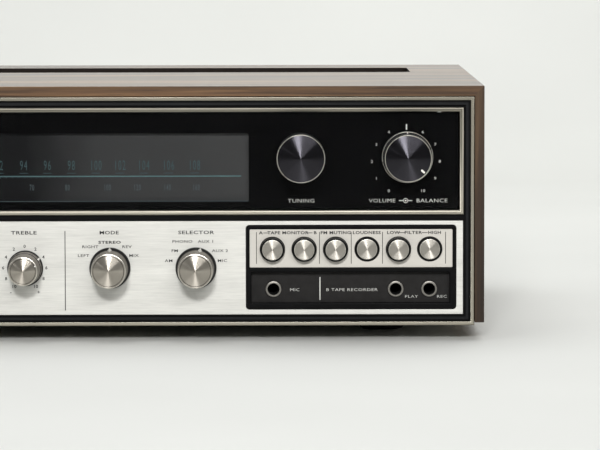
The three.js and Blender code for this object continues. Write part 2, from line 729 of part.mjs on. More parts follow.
function tuningShaft() {
  const wheel = wheelProfile(DRIVE_WHEELS.shaft.groove, SHAFT_RADIUS);
  const behind = BEHIND_SUBPANEL - CORD_PLANE;
  const flywheelFront = behind + 4;
  const profile = [
    [0, GLASS_FRONT + TUNING_SOCKET + GAP - CORD_PLANE],
    [SHAFT_RADIUS, GLASS_FRONT + TUNING_SOCKET + GAP - CORD_PLANE],
    ...wheel,
    [SHAFT_RADIUS, flywheelFront], [FLYWHEEL_RADIUS, flywheelFront], [FLYWHEEL_RADIUS, flywheelFront + 9],
    [SHAFT_RADIUS, flywheelFront + 9], [SHAFT_RADIUS, flywheelFront + 22], [0, flywheelFront + 22],
  ];
  return turned(profile, 18);
}

function tuningDrum() {
  const half = WHEEL_HALF_THICKNESS;
  const wheel = wheelProfile(DRIVE_WHEELS.drum.groove, SHAFT_RADIUS).slice(1, -1);
  const profile = [[0, -half], ...wheel, [SHAFT_RADIUS, half], [SHAFT_RADIUS, 30], [0, 30]];
  const windows = [0, 1, 2].map((third) => {
    const angle = third * 2 * Math.PI / 3 + Math.PI / 2;
    return rod(16 * Math.cos(angle), 16 * Math.sin(angle), -half - 1, half + 1, 7, TINY_ROUND);
  });
  return shape([turned(profile, 28)], windows);
}

function cordPulley() {
  const profile = wheelProfile(DRIVE_WHEELS.pulley.groove, PULLEY_STUD + GAP);
  profile.push(profile[0]);
  return turned(profile, 16);
}

// A route that passes exactly through its listed points, for a tube with a ring at each.
class CordRoute extends THREE.Curve {
  constructor(points) {
    super();
    this.points = points;
  }

  getPoint(t) {
    const place = t * (this.points.length - 1);
    const before = Math.min(Math.floor(place), this.points.length - 2);
    return this.points[before].clone().lerp(this.points[before + 1], place - before);
  }

  getUtoTmapping(u) {
    return u;
  }
}

// The angle, seen from the front, at which a straight run leaves one wheel for the next,
// going anticlockwise with both wheels inside the loop.
function leavingAngle(from, to) {
  const along = Math.atan2(to.z - from.z, to.x - from.x);
  const distance = Math.hypot(to.x - from.x, to.z - from.z);
  return along - Math.acos((from.groove - to.groove) / distance);
}

function wrap(wheel, start, end, steps) {
  const radius = wheel.groove + GAP + CORD_RADIUS;
  const points = [];
  for (let i = 0; i <= steps; i += 1) {
    const angle = start + (end - start) * i / steps;
    points.push(new THREE.Vector3(wheel.x + radius * Math.cos(angle), CORD_PLANE,
      wheel.z + radius * Math.sin(angle)));
  }
  return points;
}

function dialCord() {
  const { shaft, pulley, drum } = DRIVE_WHEELS;
  const turn = 2 * Math.PI;
  const drumOut = leavingAngle(drum, shaft);
  const shaftOut = leavingAngle(shaft, pulley) + turn;
  const pulleyOut = leavingAngle(pulley, drum) + turn;
  const bottom = -Math.PI / 2;
  const slot = 0.04;
  const route = [
    ...wrap(drum, bottom + slot, drumOut, 2),
    ...wrap(shaft, drumOut, shaftOut, 9),
    ...wrap(pulley, shaftOut, pulleyOut, 9),
    ...wrap(drum, pulleyOut - turn, bottom - slot, 2),
  ];
  const section = new THREE.Shape(circle(0, 0, CORD_RADIUS, 8));
  return shape([new THREE.ExtrudeGeometry(section, {
    steps: route.length - 1, extrudePath: new CordRoute(route), bevelEnabled: false,
  })]);
}

// The pointer hangs in front of the dial plate and reaches back over its top edge to the cord.
function dialPointer() {
  const cordTop = DRIVE_WHEELS.shaft.z + DRIVE_WHEELS.shaft.groove + GAP + CORD_RADIUS;
  const plateBack = DIAL_PLATE_FRONT + SHEET;
  const top = DIAL_PLATE.high + 0.4;
  const jawBack = CORD_PLANE + 0.6;
  const jaw = CORD_RADIUS + GAP;
  return shape([
    block(-0.6, 0.6, POINTER_FRONT, POINTER_FRONT + 0.8, BASE + 77, top + 2),
    block(-3, 3, POINTER_FRONT, plateBack + 1.4, top, top + 2),
    block(-3, 3, plateBack + 0.4, plateBack + 1.4, cordTop - jaw - 1, top + 1),
    block(-3, 3, plateBack + 0.4, jawBack, cordTop + jaw, cordTop + jaw + 1.2),
    block(-3, 3, plateBack + 0.4, jawBack, cordTop - jaw - 1, cordTop - jaw),
  ]);
}

function tuningCapacitor() {
  const { x, z } = DRIVE_WHEELS.drum;
  const front = BEHIND_SUBPANEL;
  const back = front + 52;
  const half = 24;
  const joined = [
    rod(x, z, FRONT + 20, front + 1, CAPACITOR_BUSHING),
    block(x - half, x + half, front, front + 3, z - 22, z + 24),
    block(x - half, x + half, back - 2, back, z - 22, z + 24),
    block(x - half, x + half, front, back, z - 22, z - 19),
    rod(x, z, front, back, 4.5, TINY_ROUND),
  ];
  for (let i = 0; i < 7; i += 1) {
    const y = front + 7 + i * 6;
    joined.push(block(x - 20, x + 20, y, y + 1.2, z - 20, z + 15));
  }
  return shape(joined, [rod(x, z, FRONT + 19, FRONT + 48, SHAFT_RADIUS + GAP)]);
}

add('tuning_shaft', tuningShaft(), BRASS, TUNING.x, CORD_PLANE, TUNING.z);
add('tuning_drum', tuningDrum(), NYLON, DRIVE_WHEELS.drum.x, CORD_PLANE, DRIVE_WHEELS.drum.z);
add('cord_pulley', cordPulley(), NYLON, DRIVE_WHEELS.pulley.x, CORD_PLANE, DRIVE_WHEELS.pulley.z);
add('dial_cord', dialCord(), CORD_THREAD);
add('dial_pointer', dialPointer(), POINTER_RED, POINTER_X, 0, 0);
add('tuning_capacitor', tuningCapacitor(), STEEL);

// ---------------------------------------------------------------- signal meter

const METER = { x: -182, z: BASE + 97, width: 56, height: 36 };
const METER_FRONT = GLASS_FRONT + GLASS_THICKNESS + 0.6;
const METER_PIVOT_DROP = 11;
const NEEDLE_REST = -40;          // degrees from upright, at the zero of the meter's scale

function signalMeter() {
  const { x, z, width, height } = METER;
  const halfWidth = width / 2;
  const halfHeight = height / 2;
  const wall = 2;
  const dialPlate = METER_FRONT + 4;
  const body = block(x - halfWidth, x + halfWidth, METER_FRONT, METER_FRONT + 14,
    z - halfHeight, z + halfHeight);
  const window = block(x - halfWidth + wall, x + halfWidth - wall, METER_FRONT - 1, dialPlate,
    z - halfHeight + wall, z + halfHeight - wall);
  const pin = rod(x, z - METER_PIVOT_DROP, METER_FRONT + 1, dialPlate + 1, 0.9, TINY_ROUND);
  return toGeometry(toSolid(body).subtract(toSolid(window)).add(toSolid(pin)));
}

function meterNeedle() {
  return shape(
    [block(-0.5, 0.5, METER_FRONT + 1.6, METER_FRONT + 2.4, 0, 22),
      rod(0, 0, METER_FRONT + 1.2, METER_FRONT + 2.8, 2.2, TINY_ROUND)],
    [rod(0, 0, METER_FRONT, METER_FRONT + 4, 1.2, TINY_ROUND)],
  );
}

add('signal_meter', signalMeter(), BLACK_PLASTIC);
add('meter_needle', meterNeedle(), POINTER_RED, METER.x, 0, METER.z - METER_PIVOT_DROP, NEEDLE_REST);

// ---------------------------------------------------------------- electronics in the chassis

const FLOOR_TOP = CHASSIS_FLOOR + SHEET;

function powerTransformer() {
  const [x, y] = [-164, FRONT + 250];
  const low = FLOOR_TOP + GAP;
  return shape([
    block(x - 46, x + 46, y - 24, y + 24, low, low + 2),
    block(x - 38, x + 38, y - 20, y + 20, low, low + 66),
    block(x - 22, x + 22, y - 34, y + 34, low + 12, low + 54),
  ]);
}

function filterCapacitor() {
  const [x, y] = [-88, FRONT + 250];
  const low = FLOOR_TOP + GAP;
  return shape([
    post(x, y, low + 1, low + 76, 19, 16),
    block(x - 26, x + 26, y - 8, y + 8, low, low + 3),
  ]);
}

// A circuit board on four stand-offs, with its components as boxes and upright cans.
function circuitBoard(x0, x1, y0, y1, boxes, cans) {
  const low = FLOOR_TOP + GAP;
  const deck = low + 10;
  const joined = [block(x0, x1, y0, y1, deck, deck + 1.6)];
  for (const x of [x0 + 5, x1 - 5]) {
    for (const y of [y0 + 5, y1 - 5]) {
      joined.push(post(x, y, low, deck + 0.5, 3, TINY_ROUND));
    }
  }
  for (const [x, y, width, depth, height] of boxes) {
    joined.push(block(x - width / 2, x + width / 2, y - depth / 2, y + depth / 2,
      deck + 1, deck + height));
  }
  for (const [x, y, radius, height] of cans) {
    joined.push(post(x, y, deck + 1, deck + height, radius, TINY_ROUND));
  }
  return shape(joined);
}

function amplifierBoard() {
  const driverTransistors = [-30, 0, 30, 60].map((x) => [x, FRONT + 240, 12, 3, 22]);
  const emitterResistors = [-15, 15, 45, 75].map((x) => [x, FRONT + 278, 5, 20, 9]);
  const electrolytics = [-40, -12, 16, 44, 72].map((x) => [x, FRONT + 210, 7, 28]);
  return circuitBoard(-58, 92, FRONT + 190, FRONT + 312,
    [...driverTransistors, ...emitterResistors], electrolytics);
}

function tunerBoard() {
  const coilCans = [0, 1, 2, 3, 4].map((i) => [53 + i * 30, FRONT + 100, 11, 11, 18]);
  const tunerBox = [180, FRONT + 145, 44, 34, 30];
  const electrolytics = [0, 1, 2, 3].map((i) => [55 + i * 24, FRONT + 150, 5, 18]);
  return circuitBoard(40, 212, FRONT + 80, FRONT + 172, [...coilCans, tunerBox], electrolytics);
}

add('power_transformer', powerTransformer(), COPPER_BROWN);
add('filter_capacitor', filterCapacitor(), BLACK_PLASTIC);
add('amplifier_board', amplifierBoard(), BOARD);
add('tuner_board', tunerBoard(), BOARD);

// ---------------------------------------------------------------- rear fittings

const OUTSIDE = REAR_PANEL_BACK + GAP;

// A finned extrusion seen from above, standing on the outside of the rear panel.
function heatSink() {
  const [left, right] = [-84, 64];
  const root = OUTSIDE + 5;
  const tip = FRONT + 356;
  const fins = 12;
  const finWidth = 2;
  const pitch = (right - left - finWidth) / (fins - 1);
  const outline = [new THREE.Vector2(right, OUTSIDE)];
  for (let i = fins - 1; i >= 0; i -= 1) {
    const x = left + i * pitch;
    if (i < fins - 1) {
      outline.push(new THREE.Vector2(x + finWidth, root));
    }
    outline.push(new THREE.Vector2(x + finWidth, tip), new THREE.Vector2(x, tip));
    if (i > 0) {
      outline.push(new THREE.Vector2(x, root));
    }
  }
  outline.push(new THREE.Vector2(left, OUTSIDE));
  return shape([level(outline, 26, 112)]);
}

function phonoJackStrip() {
  const [x0, x1, z0, z1] = [92, 214, 24, 66];
  const joined = [block(x0, x1, OUTSIDE, OUTSIDE + 2, z0, z1)];
  for (let column = 0; column < 6; column += 1) {
    for (const z of [z0 + 11, z1 - 11]) {
      joined.push(rod(x0 + 11 + column * 20, z, OUTSIDE + 1, OUTSIDE + 10, 4.1, TINY_ROUND));
    }
  }
  return shape(joined);
}

function speakerTerminals() {
  const [x0, x1, z0, z1] = [-196, -104, 70, 104];
  const joined = [block(x0, x1, OUTSIDE, OUTSIDE + 4, z0, z1)];
  for (let column = 0; column < 4; column += 1) {
    for (const z of [z0 + 9, z1 - 9]) {
      joined.push(rod(x0 + 13 + column * 22, z, OUTSIDE + 3, OUTSIDE + 10, 4.5, TINY_ROUND));
    }
  }
  return shape(joined);
}

// The gland that a mains lead would come out of, clipped into the rear panel.
function cordGland() {
  const inside = REAR_PANEL_FRONT;
  const profile = [
    [3.3, inside - 5], [5.6, inside - 5], [5.9, inside - 0.4], [5.9, OUTSIDE], [8.4, OUTSIDE],
    [8.4, OUTSIDE + 2.5], [5.6, OUTSIDE + 9], [3.3, OUTSIDE + 9], [3.3, inside - 5],
  ];
  return turned(profile, 14);
}

// The ferrite rod antenna, which swings out from the rear on an upright pin.
function ferriteAntenna() {
  const { x, y } = ANTENNA_PIVOT;
  const barrel = post(x, y, ANTENNA_HEIGHT - 7, ANTENNA_HEIGHT + 7, 5);
  const arm = block(x - 22, x - 3, y - 3, y + 3, ANTENNA_HEIGHT - 5, ANTENNA_HEIGHT + 5);
  const holder = bar(y, ANTENNA_HEIGHT, x - ANTENNA_LENGTH, x - 18, ANTENNA_RADIUS - 1, 12);
  const caps = [[x - 26, x - 16], [x - ANTENNA_LENGTH - 3, x - ANTENNA_LENGTH + 8]].map(
    ([x0, x1]) => bar(y, ANTENNA_HEIGHT, x0, x1, ANTENNA_RADIUS, 12),
  );
  return shape([barrel, arm, holder, ...caps], [
    post(x, y, ANTENNA_HEIGHT - 9, ANTENNA_HEIGHT + 9, PIN_RADIUS + GAP, TINY_ROUND),
  ]);
}

add('heat_sink', heatSink(), BLACK_STEEL);
add('phono_jack_strip', phonoJackStrip(), COPPER_BROWN);
add('speaker_terminals', speakerTerminals(), BLACK_PLASTIC);
add('cord_gland', cordGland(), RUBBER, GLAND.x, 0, GLAND.z);
add('ferrite_antenna', ferriteAntenna(), BLACK_PLASTIC);

export default receiver;
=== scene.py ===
import functools
import json
import math

import bmesh
import bpy
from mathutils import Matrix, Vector
from mathutils.geometry import tessellate_polygon

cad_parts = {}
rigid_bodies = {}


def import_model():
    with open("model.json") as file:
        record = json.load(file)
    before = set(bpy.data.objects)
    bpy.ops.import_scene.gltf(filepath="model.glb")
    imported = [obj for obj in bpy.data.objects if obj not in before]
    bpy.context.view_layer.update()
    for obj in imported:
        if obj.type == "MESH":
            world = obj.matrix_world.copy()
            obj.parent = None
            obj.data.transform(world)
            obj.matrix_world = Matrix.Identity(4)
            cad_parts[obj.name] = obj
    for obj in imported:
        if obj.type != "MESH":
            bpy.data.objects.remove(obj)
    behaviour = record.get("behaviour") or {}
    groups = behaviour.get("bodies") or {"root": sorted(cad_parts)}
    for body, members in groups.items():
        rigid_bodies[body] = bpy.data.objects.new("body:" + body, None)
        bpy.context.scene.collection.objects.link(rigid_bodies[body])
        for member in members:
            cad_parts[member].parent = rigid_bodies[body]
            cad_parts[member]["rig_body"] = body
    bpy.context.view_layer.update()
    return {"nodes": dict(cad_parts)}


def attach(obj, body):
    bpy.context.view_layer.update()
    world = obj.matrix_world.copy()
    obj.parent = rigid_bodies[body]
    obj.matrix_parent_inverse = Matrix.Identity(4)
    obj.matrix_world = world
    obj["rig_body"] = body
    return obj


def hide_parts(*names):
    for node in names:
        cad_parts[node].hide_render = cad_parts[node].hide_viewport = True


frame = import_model()
bpy.context.scene.view_settings.view_transform = "Standard"

# Sizes of pieces are in millimetres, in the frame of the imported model: X to the right seen from the
# front, Y to the back, Z up. Every piece is scaled to metres when its mesh is made.

MM = 0.001
ROOT = "receiver"

# --- camera, light and floor, in metres

LENS = 234.4
CAMERA_PLACE = (0.1173, -2.507, 0.2535)
CAMERA_AIM = (0.1293, -0.170, 0.0697)
CAMERA_ROLL = math.radians(-0.1)
FRONT_AIM = (0.1, -0.17, 0.07)
LIGHTS = (  # name, place, aim, width, height, watts
    ("key", (-0.05, -3.1, 1.2), FRONT_AIM, 0.42, 0.28, 42),
    ("overhead", (0.3, 0.7, 2.4), (0.1, 1.0, 0), 3.2, 2.4, 55),
    ("right_fill", (0.95, -2.9, 1.45), FRONT_AIM, 1.5, 0.13, 29),
    ("left_spark", (-2.2, -2.4, 1.35), FRONT_AIM, 0.12, 0.12, 5),
)
ROOM_LIGHT = 0.1


def rgb(red, green, blue):
    """A screen colour, 0 to 255, as linear light with alpha."""
    def linear(c):
        c /= 255
        return c / 12.92 if c <= 0.04045 else ((c + 0.055) / 1.055) ** 2.4

    return (linear(red), linear(green), linear(blue), 1.0)


def add_object(name, data):
    made = bpy.data.objects.new(name, data)
    bpy.context.scene.collection.objects.link(made)
    return made


def make_camera():
    data = bpy.data.cameras.new("camera")
    data.sensor_width, data.lens = 36, LENS
    data.clip_start, data.clip_end = 0.1, 30
    camera = add_object("camera", data)
    camera.location = CAMERA_PLACE
    toward = Vector(CAMERA_AIM) - camera.location
    camera.rotation_euler = toward.to_track_quat("-Z", "Y").to_euler()
    camera.rotation_euler.rotate_axis("Z", CAMERA_ROLL)
    bpy.context.scene.camera = camera


def make_lights():
    for name, place, aim, width, height, watts in LIGHTS:
        data = bpy.data.lights.new(name, "AREA")
        data.shape = "RECTANGLE"
        data.size, data.size_y, data.energy = width, height, watts
        light = add_object(name, data)
        light.location = place
        light.rotation_euler = (Vector(aim) - Vector(place)).to_track_quat("-Z", "Y").to_euler()
    world = bpy.data.worlds.new("room")
    bpy.context.scene.world = world
    world.use_nodes = True
    background = world.node_tree.nodes["Background"].inputs
    background[0].default_value = rgb(236, 237, 240)
    background[1].default_value = ROOM_LIGHT


def make_stage():
    """A pale floor that curves up into a backdrop on three sides. It's clear when seen from behind,
    for the other views. In front of the object its colour is painted darker, a painted shade, because the
    dial glass reflects it."""
    half, back, front, sweep, top = 3.1, 1.3, -3.6, 0.9, 3.2
    steps, corner_steps = 16, 10
    arc = [math.pi / 2 * step / steps for step in range(steps + 1)]
    profile = [(sweep * math.sin(a), sweep - sweep * math.cos(a)) for a in arc] + [(sweep, top)]
    turns = [90 * n / corner_steps for n in range(corner_steps + 1)]
    stations = [(-half, front, 180)] + [(-half, back, 180 - turn) for turn in turns]
    stations += [(half, back, 90 - turn) for turn in turns] + [(half, front, 0)]
    points = []
    for x, y, degrees in stations:
        angle = math.radians(degrees)
        points += [(x + out * math.cos(angle), y + out * math.sin(angle), z) for out, z in profile]
    rows = len(profile)
    pairs = range(len(stations) - 1)
    turning = [stations[s][:2] == stations[s + 1][:2] for s in pairs]
    faces = [(s * rows + i, (s + 1) * rows + i, (s + 1) * rows + i + 1, s * rows + i + 1)
             for s in pairs for i in range(rows - 1) if i > 0 or not turning[s]]
    faces += [(s * rows, (s + 1) * rows + 1, s * rows + 1) for s in pairs if turning[s]]
    last = (len(stations) - 1) * rows
    faces.append((0, last, last - len(turns) * rows, rows))
    mesh = bpy.data.meshes.new("floor")
    mesh.from_pydata(points, [], faces)
    mesh.shade_smooth()
    look = Look("pale_floor", 0.9)
    pale = look.ramp(look.noise(1.5, 3), (0.35, rgb(225, 226, 222)), (0.65, rgb(231, 232, 228)))
    # painted shade: the floor's colour darkens to mid grey in front of the object
    painted_shade_in_front = look.levels(look.along(1), 1.0, 0.0, -1.5, -1.0)
    look.colour(look.blend(painted_shade_in_front, pale, rgb(122, 122, 120)))
    look.bump(look.noise(900, 2), 0.05, 0.0004)
    look.clear_from_behind()
    mesh.materials.append(look.material)
    add_object("floor", mesh)


# --- materials


class Look:
    """A procedural material, in the piece's own coordinates, in metres. A value is a constant or
    the output of a node."""

    def __init__(self, name, rough=0.5, metal=0.0, **sockets):
        self.material = bpy.data.materials.new(name)
        self.material.use_nodes = True
        self.tree = self.material.node_tree
        self.shader = self.tree.nodes["Principled BSDF"]
        self.last_bump = None
        self.set(Roughness=rough, Metallic=metal, **sockets)

    def set(self, **sockets):
        for key, value in sockets.items():
            self.shader.inputs[key.replace("_", " ")].default_value = value

    def feed(self, socket, value):
        if isinstance(value, bpy.types.NodeSocket):
            self.tree.links.new(value, socket)
        else:
            socket.default_value = value

    def node(self, kind, feeds=(), **options):
        """A new node's outputs; feeds is what goes into its inputs."""
        made = self.tree.nodes.new("ShaderNode" + kind)
        for key, value in options.items():
            setattr(made, key, value)
        for key, value in dict(feeds).items():
            self.feed(made.inputs[key], value)
        return made.outputs

    def place(self, scale=(1, 1, 1)):
        """The piece's own coordinates, scaled by so much along each axis."""
        own = self.node("TexCoord")["Object"]
        return self.node("Mapping", {"Vector": own, "Scale": scale})["Vector"]

    def along(self, axis):
        return self.node("SeparateXYZ", {0: self.node("TexCoord")["Object"]})[axis]

    def noise(self, scale, detail=4, rough=0.55, distortion=0.0):
        """scale is spots per metre, one number or one for each axis."""
        scale = scale if isinstance(scale, tuple) else (scale, scale, scale)
        return self.node("TexNoise", {"Vector": self.place(scale), "Scale": 1, "Detail": detail,
                                      "Roughness": rough, "Distortion": distortion})["Fac"]

    def wave(self, per_metre, distortion=0.0, **options):
        return self.node("TexWave", {"Vector": self.place(), "Scale": per_metre,
                                     "Distortion": distortion}, **options)["Fac"]

    def bands(self, per_metre, axis, distortion):
        return self.wave(per_metre, distortion, wave_type="BANDS", bands_direction=axis)

    def ramp(self, value, *stops):
        made = self.node("ValToRGB", {"Fac": value})["Color"]
        elements = made.node.color_ramp.elements
        while len(elements) < len(stops):
            elements.new(0.5)
        for element, (position, color) in zip(elements, stops):
            element.position, element.color = position, color
        return made

    def levels(self, value, low, high, start=0.3, end=0.7):
        """value stretched from start..end to low..high."""
        return self.node("MapRange", {"Value": value, "From Min": start, "From Max": end,
                                      "To Min": low, "To Max": high})["Result"]

    def blend(self, share, first, second, kind="MIX"):
        return self.node("Mix", {0: share, 6: first, 7: second}, data_type="RGBA", blend_type=kind)[2]

    def math(self, operation, first, second):
        return self.node("Math", {0: first, 1: second}, operation=operation)[0]

    def mixed(self, first, second, share):
        """Two greys added, the first by share."""
        return self.math("ADD", self.math("MULTIPLY", first, share), self.math("MULTIPLY", second, 1 - share))

    def colour(self, value):
        self.feed(self.shader.inputs["Base Color"], value)

    def roughness(self, value):
        self.feed(self.shader.inputs["Roughness"], value)

    def bump(self, height, strength, distance):
        feeds = {"Strength": strength, "Distance": distance, "Height": height}
        if self.last_bump:
            feeds["Normal"] = self.last_bump
        self.last_bump = self.node("Bump", feeds)["Normal"]
        self.feed(self.shader.inputs["Normal"], self.last_bump)

    def brushing(self, amount, axis="Z"):
        """Anisotropic highlights round an axis."""
        self.set(Anisotropic=amount, Anisotropic_Rotation=0.25)
        self.feed(self.shader.inputs["Tangent"], self.node("Tangent", direction_type="RADIAL", axis=axis)[0])

    def clear_from_behind(self):
        seen = self.node("MixShader", {0: self.node("NewGeometry")["Backfacing"], 1: self.shader.outputs[0],
                                       2: self.node("BsdfTransparent")[0]})
        self.feed(self.tree.nodes["Material Output"].inputs["Surface"], seen[0])


def shade(color, factor):
    return tuple(min(1.0, c * factor) for c in color[:3]) + (1.0,)


def around(color, spread, low=0.3):
    """Stops for a ramp, from a little darker than a colour to a little lighter."""
    return (low, shade(color, 1 - spread)), (1 - low, shade(color, 1 + spread))


def plain(name, color, rough=0.5, metal=0.0, spread=0.12, spots=60, grain=1500, depth=0.08, **sockets):
    """A moulded, painted or cast surface: its colour drifts a little and it has a fine grain."""
    look = Look(name, rough, metal, **sockets)
    look.colour(look.ramp(look.noise(spots, 5), *around(color, spread)))
    look.roughness(look.levels(look.noise(spots * 4, 3), rough * 0.85, min(1.0, rough * 1.15)))
    look.bump(look.noise(grain, 2), depth, 0.0001)
    return look.material


def brushed(name, color, rough, along="X", spread=0.1, depth=0.12, wide=14, fine=2600, metal=1.0):
    """Metal with long fine scratches along one axis."""
    look = Look(name, rough, metal)
    stretch = tuple(wide if axis == along else fine for axis in "XYZ")
    lines = look.noise(stretch, 5, 0.7)
    broad = look.noise(tuple(s * 0.12 for s in stretch), 3)
    look.colour(look.ramp(look.mixed(lines, broad, 0.6), *around(color, spread, 0.32)))
    look.roughness(look.levels(lines, rough * 0.85, rough * 1.15))
    look.bump(lines, depth, 0.00006)
    look.brushing(0.5)
    return look.material


def spun(name, color, rough, amount=1.0, spread=0.07, metal=1.0):
    """Metal turned about its own Y axis, with highlights that fan out from the centre."""
    look = Look(name, rough, metal)
    rings = look.wave(1500, wave_type="RINGS", rings_direction="Y")
    look.colour(look.ramp(look.mixed(rings, look.noise(260, 3), 0.5), *around(color, spread, 0.2)))
    look.bump(rings, 0.06, 0.00003)
    look.brushing(amount, "Y")
    return look.material


def walnut(name, along, light, polish=0.0, shine=0.3):
    """Oiled walnut veneer with its grain along one axis."""
    look = Look(name, 0.5, Specular_IOR_Level=shine, Coat_Weight=polish, Coat_Roughness=0.2)

    def grain(across, ratio, *rest):
        return look.noise(tuple(across / ratio if axis == along else across for axis in "XYZ"), *rest)

    broad = grain(26, 14, 5, 0.6, 0.8)
    lines = grain(210, 40, 6, 0.65, 0.3)
    pores = grain(900, 30, 3, 0.6)
    base = look.ramp(broad, *((place, shade(rgb(*tone), light)) for place, tone in
                              ((0.38, (68, 48, 30)), (0.5, (112, 84, 58)), (0.62, (148, 116, 82)))))
    fine = look.ramp(lines, (0.38, rgb(104, 90, 76)), (0.6, rgb(255, 250, 242)))
    open_pores = look.levels(pores, 0.0, 0.65, 0.6, 0.72)
    base = look.blend(0.75, base, fine, "MULTIPLY")
    look.colour(look.blend(open_pores, base, shade(rgb(46, 32, 24), light)))
    look.roughness(look.levels(lines, 0.4, 0.58))
    look.bump(lines, 0.18, 0.00012)
    look.bump(pores, 0.22, 0.00008)
    return look.material


def banded(name, rough, metal, axis, per_metre, distortion, dark, pale, depth, distance):
    """Threads or sheets side by side."""
    look = Look(name, rough, metal)
    bands = look.bands(per_metre, axis, distortion)
    look.colour(look.ramp(bands, dark, pale))
    look.bump(bands, depth, distance)
    return look.material


def dial_paint():
    """Grey, with painted shade darkening its left side and painted light making it a little paler at its top.
    """
    look = Look("dial_plate", 0.6)
    # painted light: used below to make the plate a little paler towards its top
    height = look.levels(look.along(2), 0.0, 1.0, 0.075, 0.128)
    # painted shade: used below to make the plate darker towards its left
    across = look.levels(look.along(0), 0.0, 1.0, -0.12, 0.106)
    grey = look.ramp(look.mixed(across, look.noise(14, 3), 0.7), (0.2, rgb(8, 10, 15)),
                     (0.4, rgb(12, 15, 21)), (0.58, rgb(110, 111, 112)), (0.9, rgb(130, 131, 131)))
    look.colour(look.blend(look.math("MULTIPLY", height, 0.08), grey, rgb(84, 86, 84)))
    look.bump(look.noise(1500, 2), 0.05, 0.0001)
    return look.material


def smoked_glass():
    look = Look("smoked_glass", 0.05, Specular_IOR_Level=0.14, Alpha=0.32)
    look.colour(look.ramp(look.noise(5, 2), (0.3, rgb(3, 3, 4)), (0.7, rgb(6, 6, 7))))
    look.roughness(look.levels(look.noise((18, 18, 26), 4), 0.03, 0.09, 0.35, 0.7))
    return look.material


WALNUT_TOP = walnut("walnut_polished", "X", 1.14, polish=0.68, shine=0.5)
WALNUT_RAIL = walnut("walnut_along_x", "X", 1.08)
WALNUT_SIDE = walnut("walnut_upright", "Z", 0.47)
WALNUT_CORE = plain("wood_core", rgb(120, 92, 66), 0.75, spots=140, grain=700, depth=0.3)
# Near-black brown for the walls of the slot in the top, darker than the rest of the wood.
DARK_SLOT_WALL = plain("dark_slot_wall_wood", rgb(34, 26, 21), 0.7, spots=140, grain=700, depth=0.2,
                   Specular_IOR_Level=0.2)

TRIM = brushed("satin_trim", rgb(136, 132, 120), 0.3, wide=30, spread=0.06, depth=0.05)
DIAL_TRIM = brushed("dial_trim_metal", rgb(134, 130, 119), 0.42, wide=30, spread=0.06, depth=0.05)
PANEL = brushed("brushed_panel", rgb(210, 209, 203), 0.42, wide=60, spread=0.15, depth=0.2, metal=0.3,
                fine=1000)
PLATE = brushed("button_plate_metal", rgb(197, 193, 185), 0.45, wide=60, spread=0.03, depth=0.05, metal=0.3)
ANODISED = brushed("black_anodised", rgb(34, 34, 36), 0.45, along="Z", spread=0.2, wide=20, depth=0.15)

SPUN = spun("spun_silver", rgb(166, 160, 150), 0.28, metal=0.93)
SPUN_EDGE = spun("turned_silver", rgb(122, 115, 106), 0.42, amount=0.4)
SPUN_CAP = spun("spun_cap", rgb(188, 183, 174), 0.42, metal=0.85)
SPUN_DARK = spun("spun_dark", rgb(54, 53, 57), 0.25, spread=0.1)
NICKEL = spun("nickel_plate", rgb(196, 192, 182), 0.24, amount=0.3)
DULL_NICKEL = spun("dull_nickel", rgb(136, 133, 127), 0.36, amount=0.3)
BRASS = spun("turned_brass", rgb(196, 160, 92), 0.3, amount=0.4)
SCREW = spun("screw_steel", rgb(180, 178, 170), 0.3, amount=0.3)

SPUN_RIM = plain("polished_rim", rgb(214, 210, 200), 0.3, 1.0, 0.03, depth=0.02)
DARK_METAL = plain("dark_metal", rgb(38, 37, 39), 0.35, 1.0, depth=0.05)
STEEL = plain("zinc_sheet", rgb(168, 168, 162), 0.42, 1.0, 0.14, 180, depth=0.06)
REAR_PAINT = plain("rear_panel_paint", rgb(42, 41, 40), grain=2200, depth=0.2)
ALUMINIUM = plain("mill_aluminium", rgb(190, 190, 186), 0.35, 1.0, 0.08, 120)
COPPER = plain("winding_copper", rgb(150, 82, 42), 0.4, 0.6, 0.15, 300)
LAMINATED = banded("iron_laminations", 0.5, 0.7, "Y", 340, 0.3, (0.3, rgb(44, 38, 34)),
                   (0.8, rgb(96, 86, 76)), 0.35, 0.0003)

BLACK = plain("black_moulding", rgb(6, 6, 7), 0.4, spread=0.2, depth=0.06, Specular_IOR_Level=0.09)
GLOSS_BLACK = plain("gloss_black", rgb(6, 6, 7), 0.4, spread=0.2, depth=0.02, Specular_IOR_Level=0.15)
# A ring a little lighter than the black moulding, laid on the bezel's step: a painted highlight along the
# step's edge.
PAINTED_HIGHLIGHT_STEP = plain("bezel_step_painted_highlight", rgb(23, 24, 26), 0.4, depth=0.06, Specular_IOR_Level=0.15)
MASK = plain("mask_paint", rgb(2, 2, 3), depth=0.04, Specular_IOR_Level=0.08)
CHARCOAL = plain("charcoal_moulding", rgb(25, 23, 22), 0.6, spread=0.1, grain=2600, depth=0.22,
                 Specular_IOR_Level=0.25)
SKIRT = plain("knob_skirt", rgb(7, 7, 9), 0.45, spread=0.2, depth=0.05, Specular_IOR_Level=0.2)
RUBBER = plain("foot_rubber", rgb(28, 28, 28), 0.8, spread=0.2, grain=1800, depth=0.3)
NYLON = plain("nylon", rgb(224, 217, 200), 0.45, spread=0.05)
THREAD = banded("braided_thread", 0.8, 0.0, "X", 900, 2.0, (0.2, rgb(22, 22, 20)), (0.8, rgb(52, 50, 44)),
                0.4, 0.0001)
RED = plain("pointer_red", rgb(204, 74, 42), 0.4, spread=0.06)
BROWN_BOARD = plain("phenolic_board", rgb(150, 112, 62), 0.55, spots=90, depth=0.1)
PHENOLIC = plain("brown_phenolic", rgb(92, 54, 32), spread=0.14, depth=0.1)
SLEEVE = plain("blue_sleeve", rgb(38, 60, 110), 0.35, spread=0.08)
